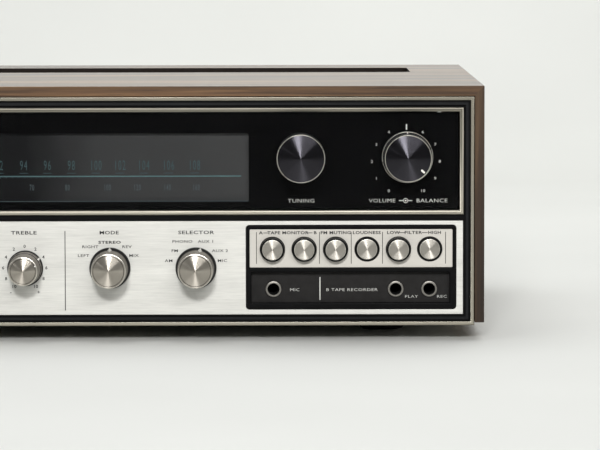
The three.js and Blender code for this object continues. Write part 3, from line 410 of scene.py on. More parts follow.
BLACK_SLEEVE = plain("black_sleeve", rgb(26, 27, 30), 0.35, spread=0.15)
RESISTOR = plain("resistor_white", rgb(206, 200, 186), 0.6, spread=0.06, depth=0.2)
WHITE_PLASTIC = plain("white_plastic", rgb(222, 220, 212), 0.4, spread=0.04)
RED_PLASTIC = plain("red_plastic", rgb(176, 34, 28), 0.35, spread=0.06)
CARD = plain("meter_card", rgb(206, 204, 186), 0.6, spread=0.03, spots=30)
# Near black: the vent grille's own black, and a painted shade in the bores, slits and screw recesses that it
# is put on.
BLACK_AND_PAINTED_SHADE = plain("black_and_painted_shade_inside", rgb(10, 10, 10), 0.7, depth=0.05)
WHITE_METAL = plain("bright_marker", rgb(236, 234, 226), 0.35, 0.3, 0.03, depth=0.03)


def ink(name, color, spread=0.06):
    return plain(name, color, 0.55, spread=spread, depth=0.05)


INK = ink("black_print", rgb(12, 12, 15), 0.1)
WHITE_INK = ink("white_print", rgb(222, 222, 216))
FAINT_INK = ink("faint_print", rgb(142, 162, 168))
TEAL_INK = ink("teal_print", rgb(160, 214, 218), 0.08)
DIM_TEAL_INK = ink("dim_teal_print", rgb(118, 158, 163), 0.08)
DIAL = dial_paint()
GLASS = smoked_glass()

# --- mesh building

SHARP = math.radians(34)
BEVELLED = math.radians(46)


def fillet(points, radius, steps=3, closed=False):
    """Rounds the corners of a line of 2D points."""
    made = []
    count = len(points)
    for i, here in enumerate(points):
        if not closed and i in (0, count - 1):
            made.append(tuple(here))
            continue
        corner = Vector(here)
        back, ahead = Vector(points[i - 1]) - corner, Vector(points[(i + 1) % count]) - corner
        cut = min(radius, back.length * 0.45, ahead.length * 0.45)
        start, end = corner + back.normalized() * cut, corner + ahead.normalized() * cut
        for step in range(steps + 1):
            t = step / steps
            made.append(tuple(start * (1 - t) ** 2 + corner * 2 * t * (1 - t) + end * t * t))
    return made


def on_circle(x, z, radius, degrees):
    """A point on a circle, by degrees clockwise from its top."""
    angle = math.radians(degrees)
    return x + radius * math.sin(angle), z + radius * math.cos(angle)


# An outline is a function of how far the material draws back from it.


def rectangle(x0, x1, z0, z1, radius=0.0, steps=6, hole=False):
    def points(inset):
        grow = -inset if hole else inset
        a, b, c, d = x0 + grow, x1 - grow, z0 + grow, z1 - grow
        turn = max(radius - grow, 0.01)
        made = []
        for quarter, (x, z) in enumerate(((b - turn, d - turn), (a + turn, d - turn),
                                          (a + turn, c + turn), (b - turn, c + turn))):
            for step in range(steps + 1):
                angle = (quarter + step / steps) * math.pi / 2
                made.append((x + turn * math.cos(angle), z + turn * math.sin(angle)))
        return made[::-1] if hole else made

    return points


def disc_hole(x, z, radius, sides=48):
    def points(inset):
        angles = [2 * math.pi * k / sides for k in range(sides)]
        wide = radius + inset
        return [(x + wide * math.cos(a), z + wide * math.sin(a)) for a in angles][::-1]

    return points


def rectangle_hole(*sizes):
    return rectangle(*sizes, hole=True)


TURNS = {
    "X": lambda p: (p[1], -p[0], p[2]),
    "Y": lambda p: p,
    "Z": lambda p: (p[0], -p[2], p[1]),
}


@functools.cache
def letter_shape(words, size, wide, weight, gap):
    """The mesh of some words, in millimetres, lying in their own XY plane."""
    data = bpy.data.curves.new("words", "FONT")
    data.body, data.size, data.offset, data.space_character = words, size, weight, gap
    data.align_x, data.align_y = "CENTER", "CENTER"
    data.resolution_u, data.extrude = 2, 0.02
    made = add_object("words", data)
    mesh = bpy.data.meshes.new_from_object(made.evaluated_get(bpy.context.evaluated_depsgraph_get()))
    points = [(v.co.x * wide, v.co.y, v.co.z) for v in mesh.vertices]
    faces = [tuple(f.vertices) for f in mesh.polygons]
    bpy.data.objects.remove(made)
    bpy.data.curves.remove(data)
    bpy.data.meshes.remove(mesh)
    return points, faces


def show(name, mesh, materials, body, replaces, at=(0, 0, 0), turn=0.0):
    """Makes a piece of a mesh: its materials, edges, normals and place, and what it is to the frame.
    turn is in degrees, about Y."""
    for material in materials:
        mesh.materials.append(material)
    mesh.set_sharp_from_angle(angle=SHARP)
    mesh.update()
    piece = add_object(name, mesh)
    piece.location = [c * MM for c in at]
    piece.rotation_euler = (0, math.radians(turn), 0)
    piece.modifiers.new("even_normals", "WEIGHTED_NORMAL").keep_sharp = True
    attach(piece, body)
    if replaces:
        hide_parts(replaces)


class Build:
    """Collects the faces of one piece, in millimetres. slot is the number of a face's material."""

    def __init__(self):
        self.points, self.faces, self.slots, self.soft = [], [], [], []

    def add(self, points, faces, slot=0, soft=True):
        base = len(self.points)
        self.points += [tuple(p) for p in points]
        self.faces += [[base + i for i in face] for face in faces]
        self.slots += slot if isinstance(slot, list) else [slot] * len(faces)
        self.soft += [soft] * len(faces)
        return self

    def lathe(self, profile, sides=64, slot=0, at=(0, 0, 0), axis="Y", ripples=None):
        """Turns (radius, along) points, front to back, round an axis. slot is one number or one for
        each step of the profile. ripples: {point index: (count, depth)}."""
        points, rings = [], []
        for i, (radius, along) in enumerate(profile):
            if radius < 1e-6:
                rings.append([len(points)])
                points.append((0, along, 0))
                continue
            rings.append(list(range(len(points), len(points) + sides)))
            count, depth = (ripples or {}).get(i, (0, 0))
            for k in range(sides):
                angle = 2 * math.pi * k / sides
                size = radius + depth * math.cos(count * angle)
                points.append((size * math.cos(angle), along, size * math.sin(angle)))
        faces, slots = [], []
        for i, (a, b) in enumerate(zip(rings, rings[1:])):
            if len(a) + len(b) == 2:
                continue
            for k in range(sides):
                n = (k + 1) % sides
                corners = (a[k % len(a)], b[k % len(b)], b[n % len(b)], a[n % len(a)])
                faces.append(tuple(dict.fromkeys(corners)))
                slots.append(slot[i] if isinstance(slot, list) else slot)
        return self.add([[c + o for c, o in zip(TURNS[axis](p), at)] for p in points], faces, slots)

    def turned(self, parts, sides, **options):
        """A lathed shape whose profile comes in parts, each with its own material. Each part starts
        at the end of the one before."""
        profile, slots = [], []
        for points, slot in parts:
            slots += [slot] * (len(points) - 1 + bool(profile))
            profile += points
        return self.lathe(profile, sides, slots, **options)

    def plate(self, outer, holes, y0, y1, bevel=0.2, slot=0, steps=2):
        """A plate across Y with its outlines in X and Z."""
        layers = []
        for step in range(steps + 1):
            angle = math.pi / 2 * step / steps
            layers.append((bevel * (1 - math.sin(angle)), y0 + bevel * (1 - math.cos(angle))))
        layers += [(inset, y0 + y1 - y) for inset, y in layers[::-1]]
        points, faces, caps = [], [], ([], [])
        for outline in [outer, *holes]:
            loops = []
            for inset, y in layers:
                ring = outline(inset)
                loops.append(list(range(len(points), len(points) + len(ring))))
                points += [(x, y, z) for x, z in ring]
            for a, b in zip(loops, loops[1:]):
                faces += [(a[k - 1], b[k - 1], b[k], a[k]) for k in [*range(1, len(a)), 0]]
            caps[0].append(loops[0])
            caps[1].append(loops[-1])
        for which, loops in enumerate(caps):
            flat = [[Vector((points[i][0], points[i][2], 0)) for i in loop] for loop in loops]
            order = [i for loop in loops for i in loop]
            for triangle in tessellate_polygon(flat):
                a, b, c = (order[t] for t in triangle)
                area = ((points[b][0] - points[a][0]) * (points[c][2] - points[a][2])
                        - (points[c][0] - points[a][0]) * (points[b][2] - points[a][2]))
                if abs(area) > 1e-9:
                    faces.append((a, b, c) if (area > 0) == (which == 0) else (a, c, b))
        return self.add(points, faces, slot)

    def block(self, x0, x1, y0, y1, z0, z1, bevel=0.3, slot=0, segments=2):
        mesh = bmesh.new()
        bmesh.ops.create_cube(mesh, size=1)
        for v in mesh.verts:
            v.co = (x0 + (v.co.x + 0.5) * (x1 - x0), y0 + (v.co.y + 0.5) * (y1 - y0),
                    z0 + (v.co.z + 0.5) * (z1 - z0))
        limit = 0.45 * min(x1 - x0, y1 - y0, z1 - z0)
        bmesh.ops.bevel(mesh, geom=list(mesh.edges), offset=min(bevel, limit), segments=segments,
                        profile=0.5, affect="EDGES")
        mesh.verts.index_update()
        self.add([v.co[:] for v in mesh.verts], [[v.index for v in f.verts] for f in mesh.faces], slot)
        mesh.free()
        return self

    def mark(self, x0, x1, z0, z1, y, slot=0, proud=0.03):
        """A printed bar on a face across Y, seen from the front."""
        return self.block(x0, x1, y - proud, y + 0.02, z0, z1, 0.02, slot)

    def loop(self, x0, x1, z0, z1, profile):
        """A closed section of (inset, y) points carried round a rectangle, mitred at its corners."""
        points, faces = [], []
        for inset, y in profile:
            points += [(x0 + inset, y, z0 + inset), (x1 - inset, y, z0 + inset),
                       (x1 - inset, y, z1 - inset), (x0 + inset, y, z1 - inset)]
        count = len(profile)
        for i in range(count):
            j = (i + 1) % count
            faces += [(4 * i + k, 4 * j + k, 4 * j + (k + 1) % 4, 4 * i + (k + 1) % 4) for k in range(4)]
        return self.add(points, faces)

    def tube(self, path, radius, sides=12, slot=0):
        """A round tube along a line of points, with closed ends."""
        path = [Vector(p) for p in path]
        points, faces = [], []
        for i, here in enumerate(path):
            ahead = (path[min(i + 1, len(path) - 1)] - path[max(i - 1, 0)]).normalized()
            side = ahead.cross(Vector((0, 0, 1) if abs(ahead.z) < 0.9 else (1, 0, 0))).normalized()
            other = ahead.cross(side)
            for k in range(sides):
                angle = 2 * math.pi * k / sides
                points.append(here + (side * math.cos(angle) + other * math.sin(angle)) * radius)
        for i in range(0, (len(path) - 1) * sides, sides):
            for k in range(sides):
                n = (k + 1) % sides
                faces.append((i + k, i + n, i + sides + n, i + sides + k))
        faces.append(tuple(range(sides))[::-1])
        faces.append(tuple(range(len(points) - sides, len(points))))
        return self.add(points, faces, slot)

    def text(self, words, x, z, y, size, slot=0, wide=1.2, back=False, weight=0.018, gap=1.08):
        """Printed words on a face across Y, seen from the front, or from behind."""
        points, faces = letter_shape(words, size, wide, weight * size, gap)
        way = -1 if back else 1
        return self.add([(x + way * px, y - way * pz, z + py) for px, py, pz in points], faces, slot,
                        soft=False)

    def done(self, name, materials, slot, replaces=None, body=ROOT, at=(0, 0, 0), turn=0.0):
        mesh = bpy.data.meshes.new(name)
        mesh.from_pydata([[c * MM for c in p] for p in self.points], [], self.faces)
        mesh.polygons.foreach_set("material_index", self.slots)
        mesh.polygons.foreach_set("use_smooth", self.soft)
        show(name, mesh, materials, body, replaces, at, turn)


def refined(node, name, materials, bevel, pick=None, segments=2, cuts=()):
    """A CAD node's own shape with its edges rounded. pick gives a face's material from its centre,
    in millimetres, and normal. cuts are planes that split its faces, each a point and a normal."""
    source = frame["nodes"][node]
    mesh = bmesh.new()
    mesh.from_mesh(source.data)
    bmesh.ops.remove_doubles(mesh, verts=mesh.verts, dist=2e-6)
    bmesh.ops.dissolve_limit(mesh, angle_limit=math.radians(0.6), verts=mesh.verts, edges=mesh.edges)
    for point, normal in cuts:
        bmesh.ops.bisect_plane(mesh, geom=[*mesh.verts, *mesh.edges, *mesh.faces],
                               plane_co=Vector(point) * MM, plane_no=normal, dist=1e-6)
    if bevel:
        edges = [e for e in mesh.edges if len(e.link_faces) == 2 and e.calc_face_angle(0) > BEVELLED]
        bmesh.ops.bevel(mesh, geom=edges, offset=bevel * MM, segments=segments, profile=0.5,
                        affect="EDGES", clamp_overlap=True)
    mesh.normal_update()
    for face in mesh.faces:
        face.smooth = True
        if pick:
            face.material_index = pick(face.calc_center_median() / MM, face.normal)
    data = bpy.data.meshes.new(name)
    mesh.to_mesh(data)
    mesh.free()
    show(name, data, materials, source["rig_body"], node)


def screw_head(build, x, y, z, radius, slot=0, dark=1):
    """A pan head on a face that looks to the back, with a thin dark cross on it: painted shade where its
    cross recess would be.
    """
    profile = fillet([(0, -1.5), (radius * 0.55, -1.45), (radius, -0.5), (radius, 0)], 0.5)
    build.lathe([(r, -a) for r, a in profile][::-1], 24, slot, at=(x, y, z))
    tip = y + 1.5
    for wide, tall in ((radius * 0.62, 0.28), (0.28, radius * 0.62)):
        build.block(x - wide, x + wide, tip - 0.05, tip + 0.06, z - tall, z + tall, 0.05, dark)


# --- the case

CASE_TOP = 153.0
PANEL_FACE = -167.0
GLASS_FACE = -166.5
BUTTON_PLATE_FACE = -166.8
RECESS_FACE = -162.8
DIAL_FACE = -160.0
KNOB_ROW = 43.9
TUNING = (129.8, 110.7)
VOLUME = (193.6, 110.7)
VOLUME_SCALE = (192.9, 107.5)


def wood_pick(centre, normal):
    """0 top, 1 side, 2 bare edge, 3 wall of the slot, 4 front rail."""
    if centre.z > 140 and abs(centre.x) < 203 and 42.5 < centre.y < 117.5 and abs(normal.z) < 0.9:
        return 3
    if normal.y > 0.7 and centre.y > 165:
        return 2
    if abs(normal.x) > 0.7 and abs(centre.x) > 236:
        return 1
    if normal.y < -0.7:
        return 1 if abs(centre.x) > 228 else 4
    if normal.z < -0.7 or (abs(normal.x) > 0.7 and centre.y > -150):
        return 2
    return 0


def case():
    """Its top and sides are separate runs of veneer, mitred at the front."""
    refined("wood_cabinet", "walnut_case", [WALNUT_TOP, WALNUT_SIDE, WALNUT_CORE, DARK_SLOT_WALL, WALNUT_RAIL],
            0.7, wood_pick, 3, [((side * 240, 0, CASE_TOP), (side, 0, -1)) for side in (-1, 1)])
    for side, x in (("left", -180), ("right", 180)):
        for end, y in (("front", -96), ("rear", 100)):
            rubber = [(0, 4.2), (3.6, 4.2), (3.9, 3.9), (4.2, 1.7), (5.0, 1.5), (5.6, 1.2), (6.0, 0.25),
                      (6.6, 0.0), (8.6, 0.0), (8.9, 0.35), (9.4, 0.35), (9.7, 0.0), (12.4, 0.0), (13.0, 0.2),
                      (13.6, 1.6), (14.0, 3.2), (14.0, 9.2), (13.6, 9.9), (0, 9.9)]
            screw = [(0, 2.2), (1.8, 2.3), (3.0, 2.9), (3.1, 4.2), (0, 4.2)]
            build = Build().lathe(rubber, 56, 0, axis="Z").lathe(screw, 28, 1, axis="Z")
            build.done(f"rubber_foot_{end}_{side}", [RUBBER, SCREW], "rubber", f"foot_{end}_{side}",
                       at=(x, y, 0))
    refined("vent_grille", "slotted_grille", [BLACK_AND_PAINTED_SHADE], 0.3)
    refined("bottom_cover", "bottom_plate", [STEEL], 0.3)
    build = Build()
    for x in (-216, -70, 70, 216):
        for y in (-140, 8, 156):
            profile = [(0, 9.6), (1.6, 9.1), (2.6, 9.2), (3.1, 9.9), (3.1, 10.2), (0, 10.2)]
            build.lathe(profile, 20, 0, at=(x, y, 0), axis="Z")
            # a thin dark cross on each head: painted shade for its cross recess
            for wide, deep in ((1.9, 0.28), (0.28, 1.9)):
                build.block(x - wide, x + wide, y - deep, y + deep, 9.0, 9.25, 0.05, 1)
    build.done("bottom_screws", [SCREW, BLACK_AND_PAINTED_SHADE], "steel")


# --- frames, glass and dial

DIAL_WINDOW = (-113.5, 98.6, 83.7, 124.6)
METER_WINDOW = (-207, -157, 90.2, 121.8)


def front_frames():
    section = fillet([(0.0, -169.5), (0.0, -156), (2.3, -156), (2.3, -169.7), (2.1, -169.92), (0.6, -170),
                      (0.35, -170)], 0.2, 3, closed=True)
    Build().loop(-234, 234, 9, 146.7, section).done("outer_frame", [TRIM], "silver_trim", "outer_trim")
    refined("black_bezel", "bezel_moulding", [BLACK], 0.25)
    # painted highlight: a thin lighter ring along the bezel's step
    section = [(0, -168.6), (0, -168.2), (1.5, -168.2), (1.5, -168.6)]
    Build().loop(-230.4, 230.4, 12.6, 143.1, section).done("bezel_step_painted_highlight", [PAINTED_HIGHLIGHT_STEP], "black_bezel")
    section = fillet([(0.0, -168.3), (0.0, -162), (2.8, -162), (2.8, -167.9), (2.4, -168.2), (1.55, -168.4),
                      (1.35, -168.9), (0.5, -168.9)], 0.16, 2, closed=True)
    build = Build().loop(-227.9, 227.9, 75.6, 140.3, section)
    build.done("dial_frame", [DIAL_TRIM], "silver_trim", "dial_trim")


def dial_glass():
    pane = rectangle(-224.9, 224.9, 78.4, 137.2, 0.4, 2)
    build = Build().plate(pane, [disc_hole(*TUNING, 5), disc_hole(*VOLUME, 7)], GLASS_FACE, -163.5, 0.25)
    build.done("smoked_pane", [GLASS], "smoked_glass", "dial_glass")
    holes = [rectangle_hole(*DIAL_WINDOW, 1.2, 5), rectangle_hole(*METER_WINDOW, 1.5, 5),
             disc_hole(*TUNING, 5.4), disc_hole(*VOLUME, 7.4)]
    build = Build().plate(rectangle(-224.6, 224.6, 78.7, 136.9, 0.4, 2), holes, -163.35, -163.1, 0.05)
    build.done("dial_mask", [MASK], "smoked_glass")
    x0, x1, z0, z1 = DIAL_WINDOW
    build = Build().block(x0, x1, -163.42, -163.36, z0 - 0.2, z0 + 0.2, 0.02, 1)
    build.block(x0, x1, -163.42, -163.36, z1 - 0.05, z1 + 0.15, 0.02)
    build.done("window_lines", [DARK_METAL, FAINT_INK], "smoked_glass")


def glass_print():
    y = GLASS_FACE - 0.03
    build = Build()
    for number in range(11):
        if number != 5:
            build.text(str(number), *on_circle(*VOLUME_SCALE, 20.4, -150 + 30 * number), y, 2.4, weight=0)
    build.mark(192.9, 193.7, 126.6, 130.0, y)
    for words, x, wide in (("TUNING", 130.1, 1.25), ("VOLUME", 178.7, 1.22), ("BALANCE", 208.6, 1.28)):
        build.text(words, x, 83.9, y, 3.2, wide=wide, weight=-0.012)
    build.mark(188.8, 191.2, 83.8, 84.2, y).mark(194.4, 196.8, 83.8, 84.2, y)
    ring = [(1.15, y - 0.03), (1.45, y - 0.03), (1.45, y + 0.02), (1.15, y + 0.02), (1.15, y - 0.03)]
    build.lathe(ring, 28, at=(192.8, 0, 84.0))
    build.lathe([(0, y - 0.03), (0.5, y - 0.03), (0.5, y + 0.02), (0, y + 0.02)], 16, at=(192.8, 0, 84.0))
    build.text("SIGNAL", -182, 83.9, y, 2.6, wide=1.25, weight=0)
    build.done("glass_lettering", [WHITE_INK], "smoked_glass")


def dial():
    refined("dial_scale", "dial_plate", [DIAL], 0.2)
    y = DIAL_FACE - 0.03
    build = Build()
    for n, x in enumerate((65.9, 50.3, 35.4, 21.0, 6.6, -8.2, -22.6, -36.9, -51.5, -66.1, -80.7)):
        build.text(str(108 - 2 * n), x, 104.9, y, 8.4, 2, 0.5, weight=0.0, gap=1.2)
        build.mark(x - 2.6, x + 2.6, 100.3, 100.65, y, 2)
    for n in range(41):
        x = 65.9 - 14.6 * n / 4
        build.mark(x - 0.09, x + 0.09, 97.2, 98.1 if n % 4 else 98.7, y, 1)
    build.mark(-108, 93.9, 98.2, 98.9, y, proud=0.05)
    for number, x in ((54, -81), (60, -56), (70, -32), (80, -10.6), (100, 13.4), (120, 31.4), (140, 49.5),
                      (160, 66.9)):
        build.text(str(number), x, 91.6, y, 5.2, 1, 0.52, weight=0.008, gap=1.15)
    build.text("FM", -98, 104.9, y, 4.2, 0, 1.1).text("AM", -98, 91.6, y, 4.2, 1, 1.1)
    build.done("dial_print", [TEAL_INK, FAINT_INK, DIM_TEAL_INK], "dial_grey")
    refined("dial_pointer", "pointer_blade", [RED], 0.12)


def meter():
    x, z = -182, 106
    pivot = (x, z - 11)
    face, plate = -162.9, -158.9
    rim = rectangle(x - 28, x + 28, z - 18, z + 18, 1.5, 4)
    build = Build()
    build.plate(rim, [rectangle_hole(x - 26, x + 26, z - 16, z + 16, 1, 4)], face, plate, 0.4)
    build.plate(rim, [], plate, face + 14, 0.4)
    build.plate(rectangle(x - 25.9, x + 25.9, z - 15.9, z + 15.9, 0.5, 2), [], plate - 0.25, plate + 0.1,
                0.05, 1)
    build.plate(rectangle(x - 26, x + 26, z - 16, z - 12.6, 0.5, 2), [], face + 0.3, plate, 0.2)
    build.lathe(fillet([(0, face + 0.6), (0.9, face + 0.6), (0.9, plate)], 0.2), 20, 2, (x, 0, z - 11))
    build.done("meter_case", [BLACK, CARD, NICKEL], "black_bezel", "signal_meter")
    build = Build()
    y = plate - 0.28

    def on_card(radius, degrees):
        px, pz = on_circle(*pivot, radius, degrees)
        return px, y, pz

    for n in range(11):
        degrees = -40 + 8 * n
        build.tube([on_card(20.4 if n % 2 else 19.6, degrees), on_card(22.4, degrees)], 0.14, 6)
        if n % 2 == 0:
            px, _, pz = on_card(24.4, degrees)
            build.text(str(n // 2), px, min(pz, z + 13.8), y + 0.02, 2.8)
    build.tube([on_card(22.4, -40 + 2 * n) for n in range(41)], 0.14, 6)
    build.done("meter_print", [INK], "black_bezel")
    build = Build()
    build.lathe(fillet([(0, -161.7), (1.9, -161.7), (2.2, -161.3), (2.2, -160.1), (0, -160.1)], 0.15), 28, 1)
    needle = [(side * half, y, height) for half, front, back, height in ((0.5, -161.3, -160.6, 0),
                                                                         (0.16, -161.1, -160.8, 22))
              for side, y in ((-1, front), (1, front), (1, back), (-1, back))]
    build.add(needle, [(0, 1, 5, 4), (1, 2, 6, 5), (2, 3, 7, 6), (3, 0, 4, 7), (4, 5, 6, 7), (3, 2, 1, 0)],
              0, soft=False)
    build.done("needle_arm", [RED, BLACK], "pointer_red", "meter_needle", "meter_needle", (x, 0, z - 11), -40)


# --- lower panel

SOCKETS = (  # node, x, z, front
    ("mic_jack", 113.3, 30.5, -164.4), ("tape_play_jack", 186.9, 30.5, -164.4),
    ("tape_record_jack", 207.1, 30.5, -164.4), ("phones_jack", -189.3, KNOB_ROW, -168.4))
BUTTONS = (  # node, x, how far it's pressed in
    ("tape_a_button", 112.7, 0), ("tape_b_button", 131.8, 0), ("muting_button", 150.7, 0),
    ("loudness_button", 169.6, 4.5), ("low_filter_button", 188.5, 0), ("high_filter_button", 207.3, 4.5))
BUTTON_ROW = 54.8
BASS_X, TREBLE_X = -86.7, -35.8
SWITCHES = (("speakers", -138.3, -15), ("mode", 15.1, 0), ("selector", 66.8, 13))  # name, x, turn at rest


def panels():
    bores = [(-138.3, 5.4), (15.1, 5.4), (66.8, 5.4), (BASS_X, 6), (TREBLE_X, 6), (-189.3, 4.8)]
    holes = [rectangle_hole(96.7, 223.3, 18.4, 69.5, 2.2, 6)]
    holes += [disc_hole(x, KNOB_ROW, radius, 40) for x, radius in bores]
    build = Build().plate(rectangle(-227.3, 227.3, 15.5, 71.9, 0.2, 1), holes, PANEL_FACE, PANEL_FACE + 3)
    build.done("control_panel", [PANEL], "brushed_panel", "lower_faceplate")
    buttons = rectangle_hole(98.7, 221.3, 43.5, 67.1, 0.8, 4)
    recess = rectangle_hole(99.9, 219.3, 22.4, 41, 0.6, 4)
    build = Build()
    build.plate(rectangle(97, 223, 18.7, 69.2, 2, 8), [buttons, recess], -167.8, -164.9, 0.45, 0, 3)
    build.plate(rectangle(97.1, 222.9, 18.8, 42.4, 1.9, 6), [recess], -164.95, -162.7, 0.02)
    build.plate(rectangle(97.1, 222.9, 42.3, 69.1, 1.9, 6),
                [disc_hole(x, BUTTON_ROW, 7.7) for _, x, _ in BUTTONS], -164.95, -161, 0.02)
    build.plate(rectangle(97.2, 222.8, 18.9, 42.5, 1.8, 6),
                [disc_hole(x, z, 4.8, 40) for _, x, z, _ in SOCKETS[:3]], RECESS_FACE, -161, 0.02, 1)
    build.done("inset_moulding", [BLACK, CHARCOAL], "charcoal", "inset_bezel")
    build = Build().plate(rectangle(99, 221, 43.8, 66.8, 0.6, 4),
                          [disc_hole(x, BUTTON_ROW, 7.6, 56) for _, x, _ in BUTTONS],
                          BUTTON_PLATE_FACE, -165.3, 0.15)
    build.done("push_button_plate", [PLATE], "brushed_panel", "button_plate")


def panel_print():
    y = PANEL_FACE - 0.03
    build = Build()
    for words, x, wide in (("TREBLE", -36.6, 1.55), ("BASS", -87.0, 1.5), ("MODE", 14.6, 1.36),
                           ("SELECTOR", 66.8, 1.5), ("SPEAKERS", -138.3, 1.5), ("PHONES", -189.3, 1.5)):
        build.text(words, x, 65.0, y, 2.9, wide=wide)
    for x in (-36.2, -87.1):
        for n in range(-5, 6):
            build.text(str(abs(2 * n)), *on_circle(x, KNOB_ROW, 13.0, 30 * n), y, 2.7, wide=1.05)
        build.text("-", x - 8.5, 29.2, y, 2.9).text("+", x + 8.3, 29.2, y, 2.9)
    for words, x, z in (("RIGHT", 3.2, 56.5), ("REV", 25.2, 56.5), ("LEFT", -0.9, 51.2), ("MIX", 29.4, 51.2),
                        ("PHONO", 58.6, 59.6), ("AUX 1", 72.8, 59.6), ("FM", 54.0, 54.0),
                        ("AUX 2", 81.2, 54.0),
                        ("AM", 50.4, 48.0), ("MIC", 82.6, 48.0), ("OFF", -148.2, 57.0), ("A", -138.3, 59.4),
                        ("B", -128.2, 56.5), ("A+B", -121.4, 50.8)):
        build.text(words, x, z, y, 2.3, wide=1.4, weight=0.012)
    build.text("STEREO", 14.9, 59.2, y, 2.3, wide=1.6, weight=0.03)
    for x in (-11.9, -112.5, -164.0):
        build.mark(x - 0.25, x + 0.25, 18.2, 66.2, y, proud=0.02)
    build.done("panel_lettering", [INK], "brushed_panel")
    y = BUTTON_PLATE_FACE - 0.03
    build = Build()
    for words, x, wide in (("A", 105.8, 1.3), ("TAPE MONITOR", 122.0, 1.3), ("B", 138.4, 1.3),
                           ("FM MUTING", 150.8, 1.3), ("LOUDNESS", 169.4, 1.3), ("LOW", 185.4, 1.3),
                           ("FILTER", 197.3, 1.36), ("HIGH", 210.2, 1.25)):
        build.text(words, x, 64.7, y, 2.5, wide=wide * 0.99, weight=0.028)
    for x0, x1 in ((107.3, 110.2), (133.9, 136.8), (189.0, 192.4), (202.4, 206.0)):
        build.mark(x0, x1, 64.5, 64.9, y, proud=0.02)
    for x in (103.1, 141.0, 160.1, 178.9, 216.8):
        build.mark(x - 0.2, x + 0.2, 46.0, 65.2, y, proud=0.02)
    build.done("button_lettering", [INK], "brushed_panel")
    y = RECESS_FACE - 0.03
    build = Build()
    for words, x, z, size, wide in (("MIC", 126.1, 29.9, 2.5, 1.34),
                                    ("B TAPE RECORDER", 160.5, 29.9, 2.5, 1.38),
                                    ("PLAY", 196.4, 25.7, 2.4, 1.4), ("REC", 214.8, 25.7, 2.4, 1.4)):
        build.text(words, x, z, y, size, wide=wide, weight=-0.012)
    build.block(141.0, 141.6, y - 0.25, y + 0.02, 23.8, 37.7, 0.08)
    build.done("socket_lettering", [WHITE_INK], "charcoal")


def push_buttons():
    for node, x, pressed in BUTTONS:
        build = Build().turned((
            ([(0, 0.02), (5.7, 0.12)], 0),
            ([(5.8, 0.05), (6.0, 0.08), (6.15, 0.3), (6.2, 0.5)], 1),
            ([(6.4, 0.4), (6.9, 0.45), (7.1, 0.6), (7.2, 0.9), (7.2, 13.8), (7.0, 14), (2.5, 14)], 2),
            ([(2.5, 37.6), (2.2, 38), (0, 38)], 3)), 72)
        build.done(node.replace("_button", "_push_button"), [SPUN_CAP, SPUN_RIM, GLOSS_BLACK, WHITE_PLASTIC],
                   "button_black", node, node, (x, -172.8 + pressed, BUTTON_ROW))


def sockets():
    for node, x, z, front in SOCKETS:
        at = (x, 0, z)
        build = Build()
        build.plate(rectangle(x - 7, x + 7, z - 7, z + 7, 0.6, 3), [disc_hole(x, z, 4.4, 32)], -144.2, -118,
                    0.4, 2)
        build.turned((
            ([(3.4, -121.4), (3.4, front + 0.5), (3.5, front + 0.12), (3.65, front)], 1),
            ([(4.4, front), (4.67, front + 0.12), (4.75, front + 0.4), (4.75, -161.6), (4.5, -161.4),
              (4.5, -145.0)], 0),
            ([(4.5, -121.0), (0, -121.0)], 2)), 48, at=at)
        build.lathe([(0, -121.5), (3.45, -121.5), (3.45, -121.2), (0, -121.2)], 32, 1, at)
        build.lathe(fillet([(3.36, -150), (4.3, -150), (4.3, -149), (3.36, -149), (3.36, -150)], 0.1), 32,
                    3, at)
        build.done(node.replace("_jack", "_socket"), [DULL_NICKEL, BLACK_AND_PAINTED_SHADE, BLACK, DARK_METAL], "nickel",
                   node)


# --- knobs: their fronts are cones, so that their highlights fan out upwards only

KNOB_FRONT = -25
SILVER_KNOB = [SPUN, DARK_METAL, SPUN_RIM, SPUN_EDGE, SKIRT, STEEL, WHITE_METAL]
DARK_KNOB = [SPUN_DARK, SPUN_RIM, SKIRT, STEEL, WHITE_METAL]
DARK_FLUTES = {10: (60, 0.14), 11: (60, 0.14)}


def silver_face(edge, y=KNOB_FRONT):
    """The spun face of a silver knob out to its rim, whose radius is edge and front is at y."""
    return (([(0, y - 1.1), (0.25, y - 1.06), (edge - 1.35, y + 0.1)], 0),
            ([(edge - 1.3, y + 0.35), (edge - 1.15, y + 0.35), (edge - 1.1, y + 0.08)], 1),
            ([(edge - 1.0, y - 0.02), (edge - 0.4, y + 0.02)], 0),
            ([(edge - 0.12, y + 0.14), (edge, y + 0.5)], 2))


def dark_face(edge, y=KNOB_FRONT):
    return (([(0, y - 1.9), (0.25, y - 1.85), (edge - 0.5, y + 0.14)], 0),
            ([(edge - 0.38, y), (edge - 0.2, y), (edge - 0.06, y + 0.14), (edge, y + 0.45)], 1))


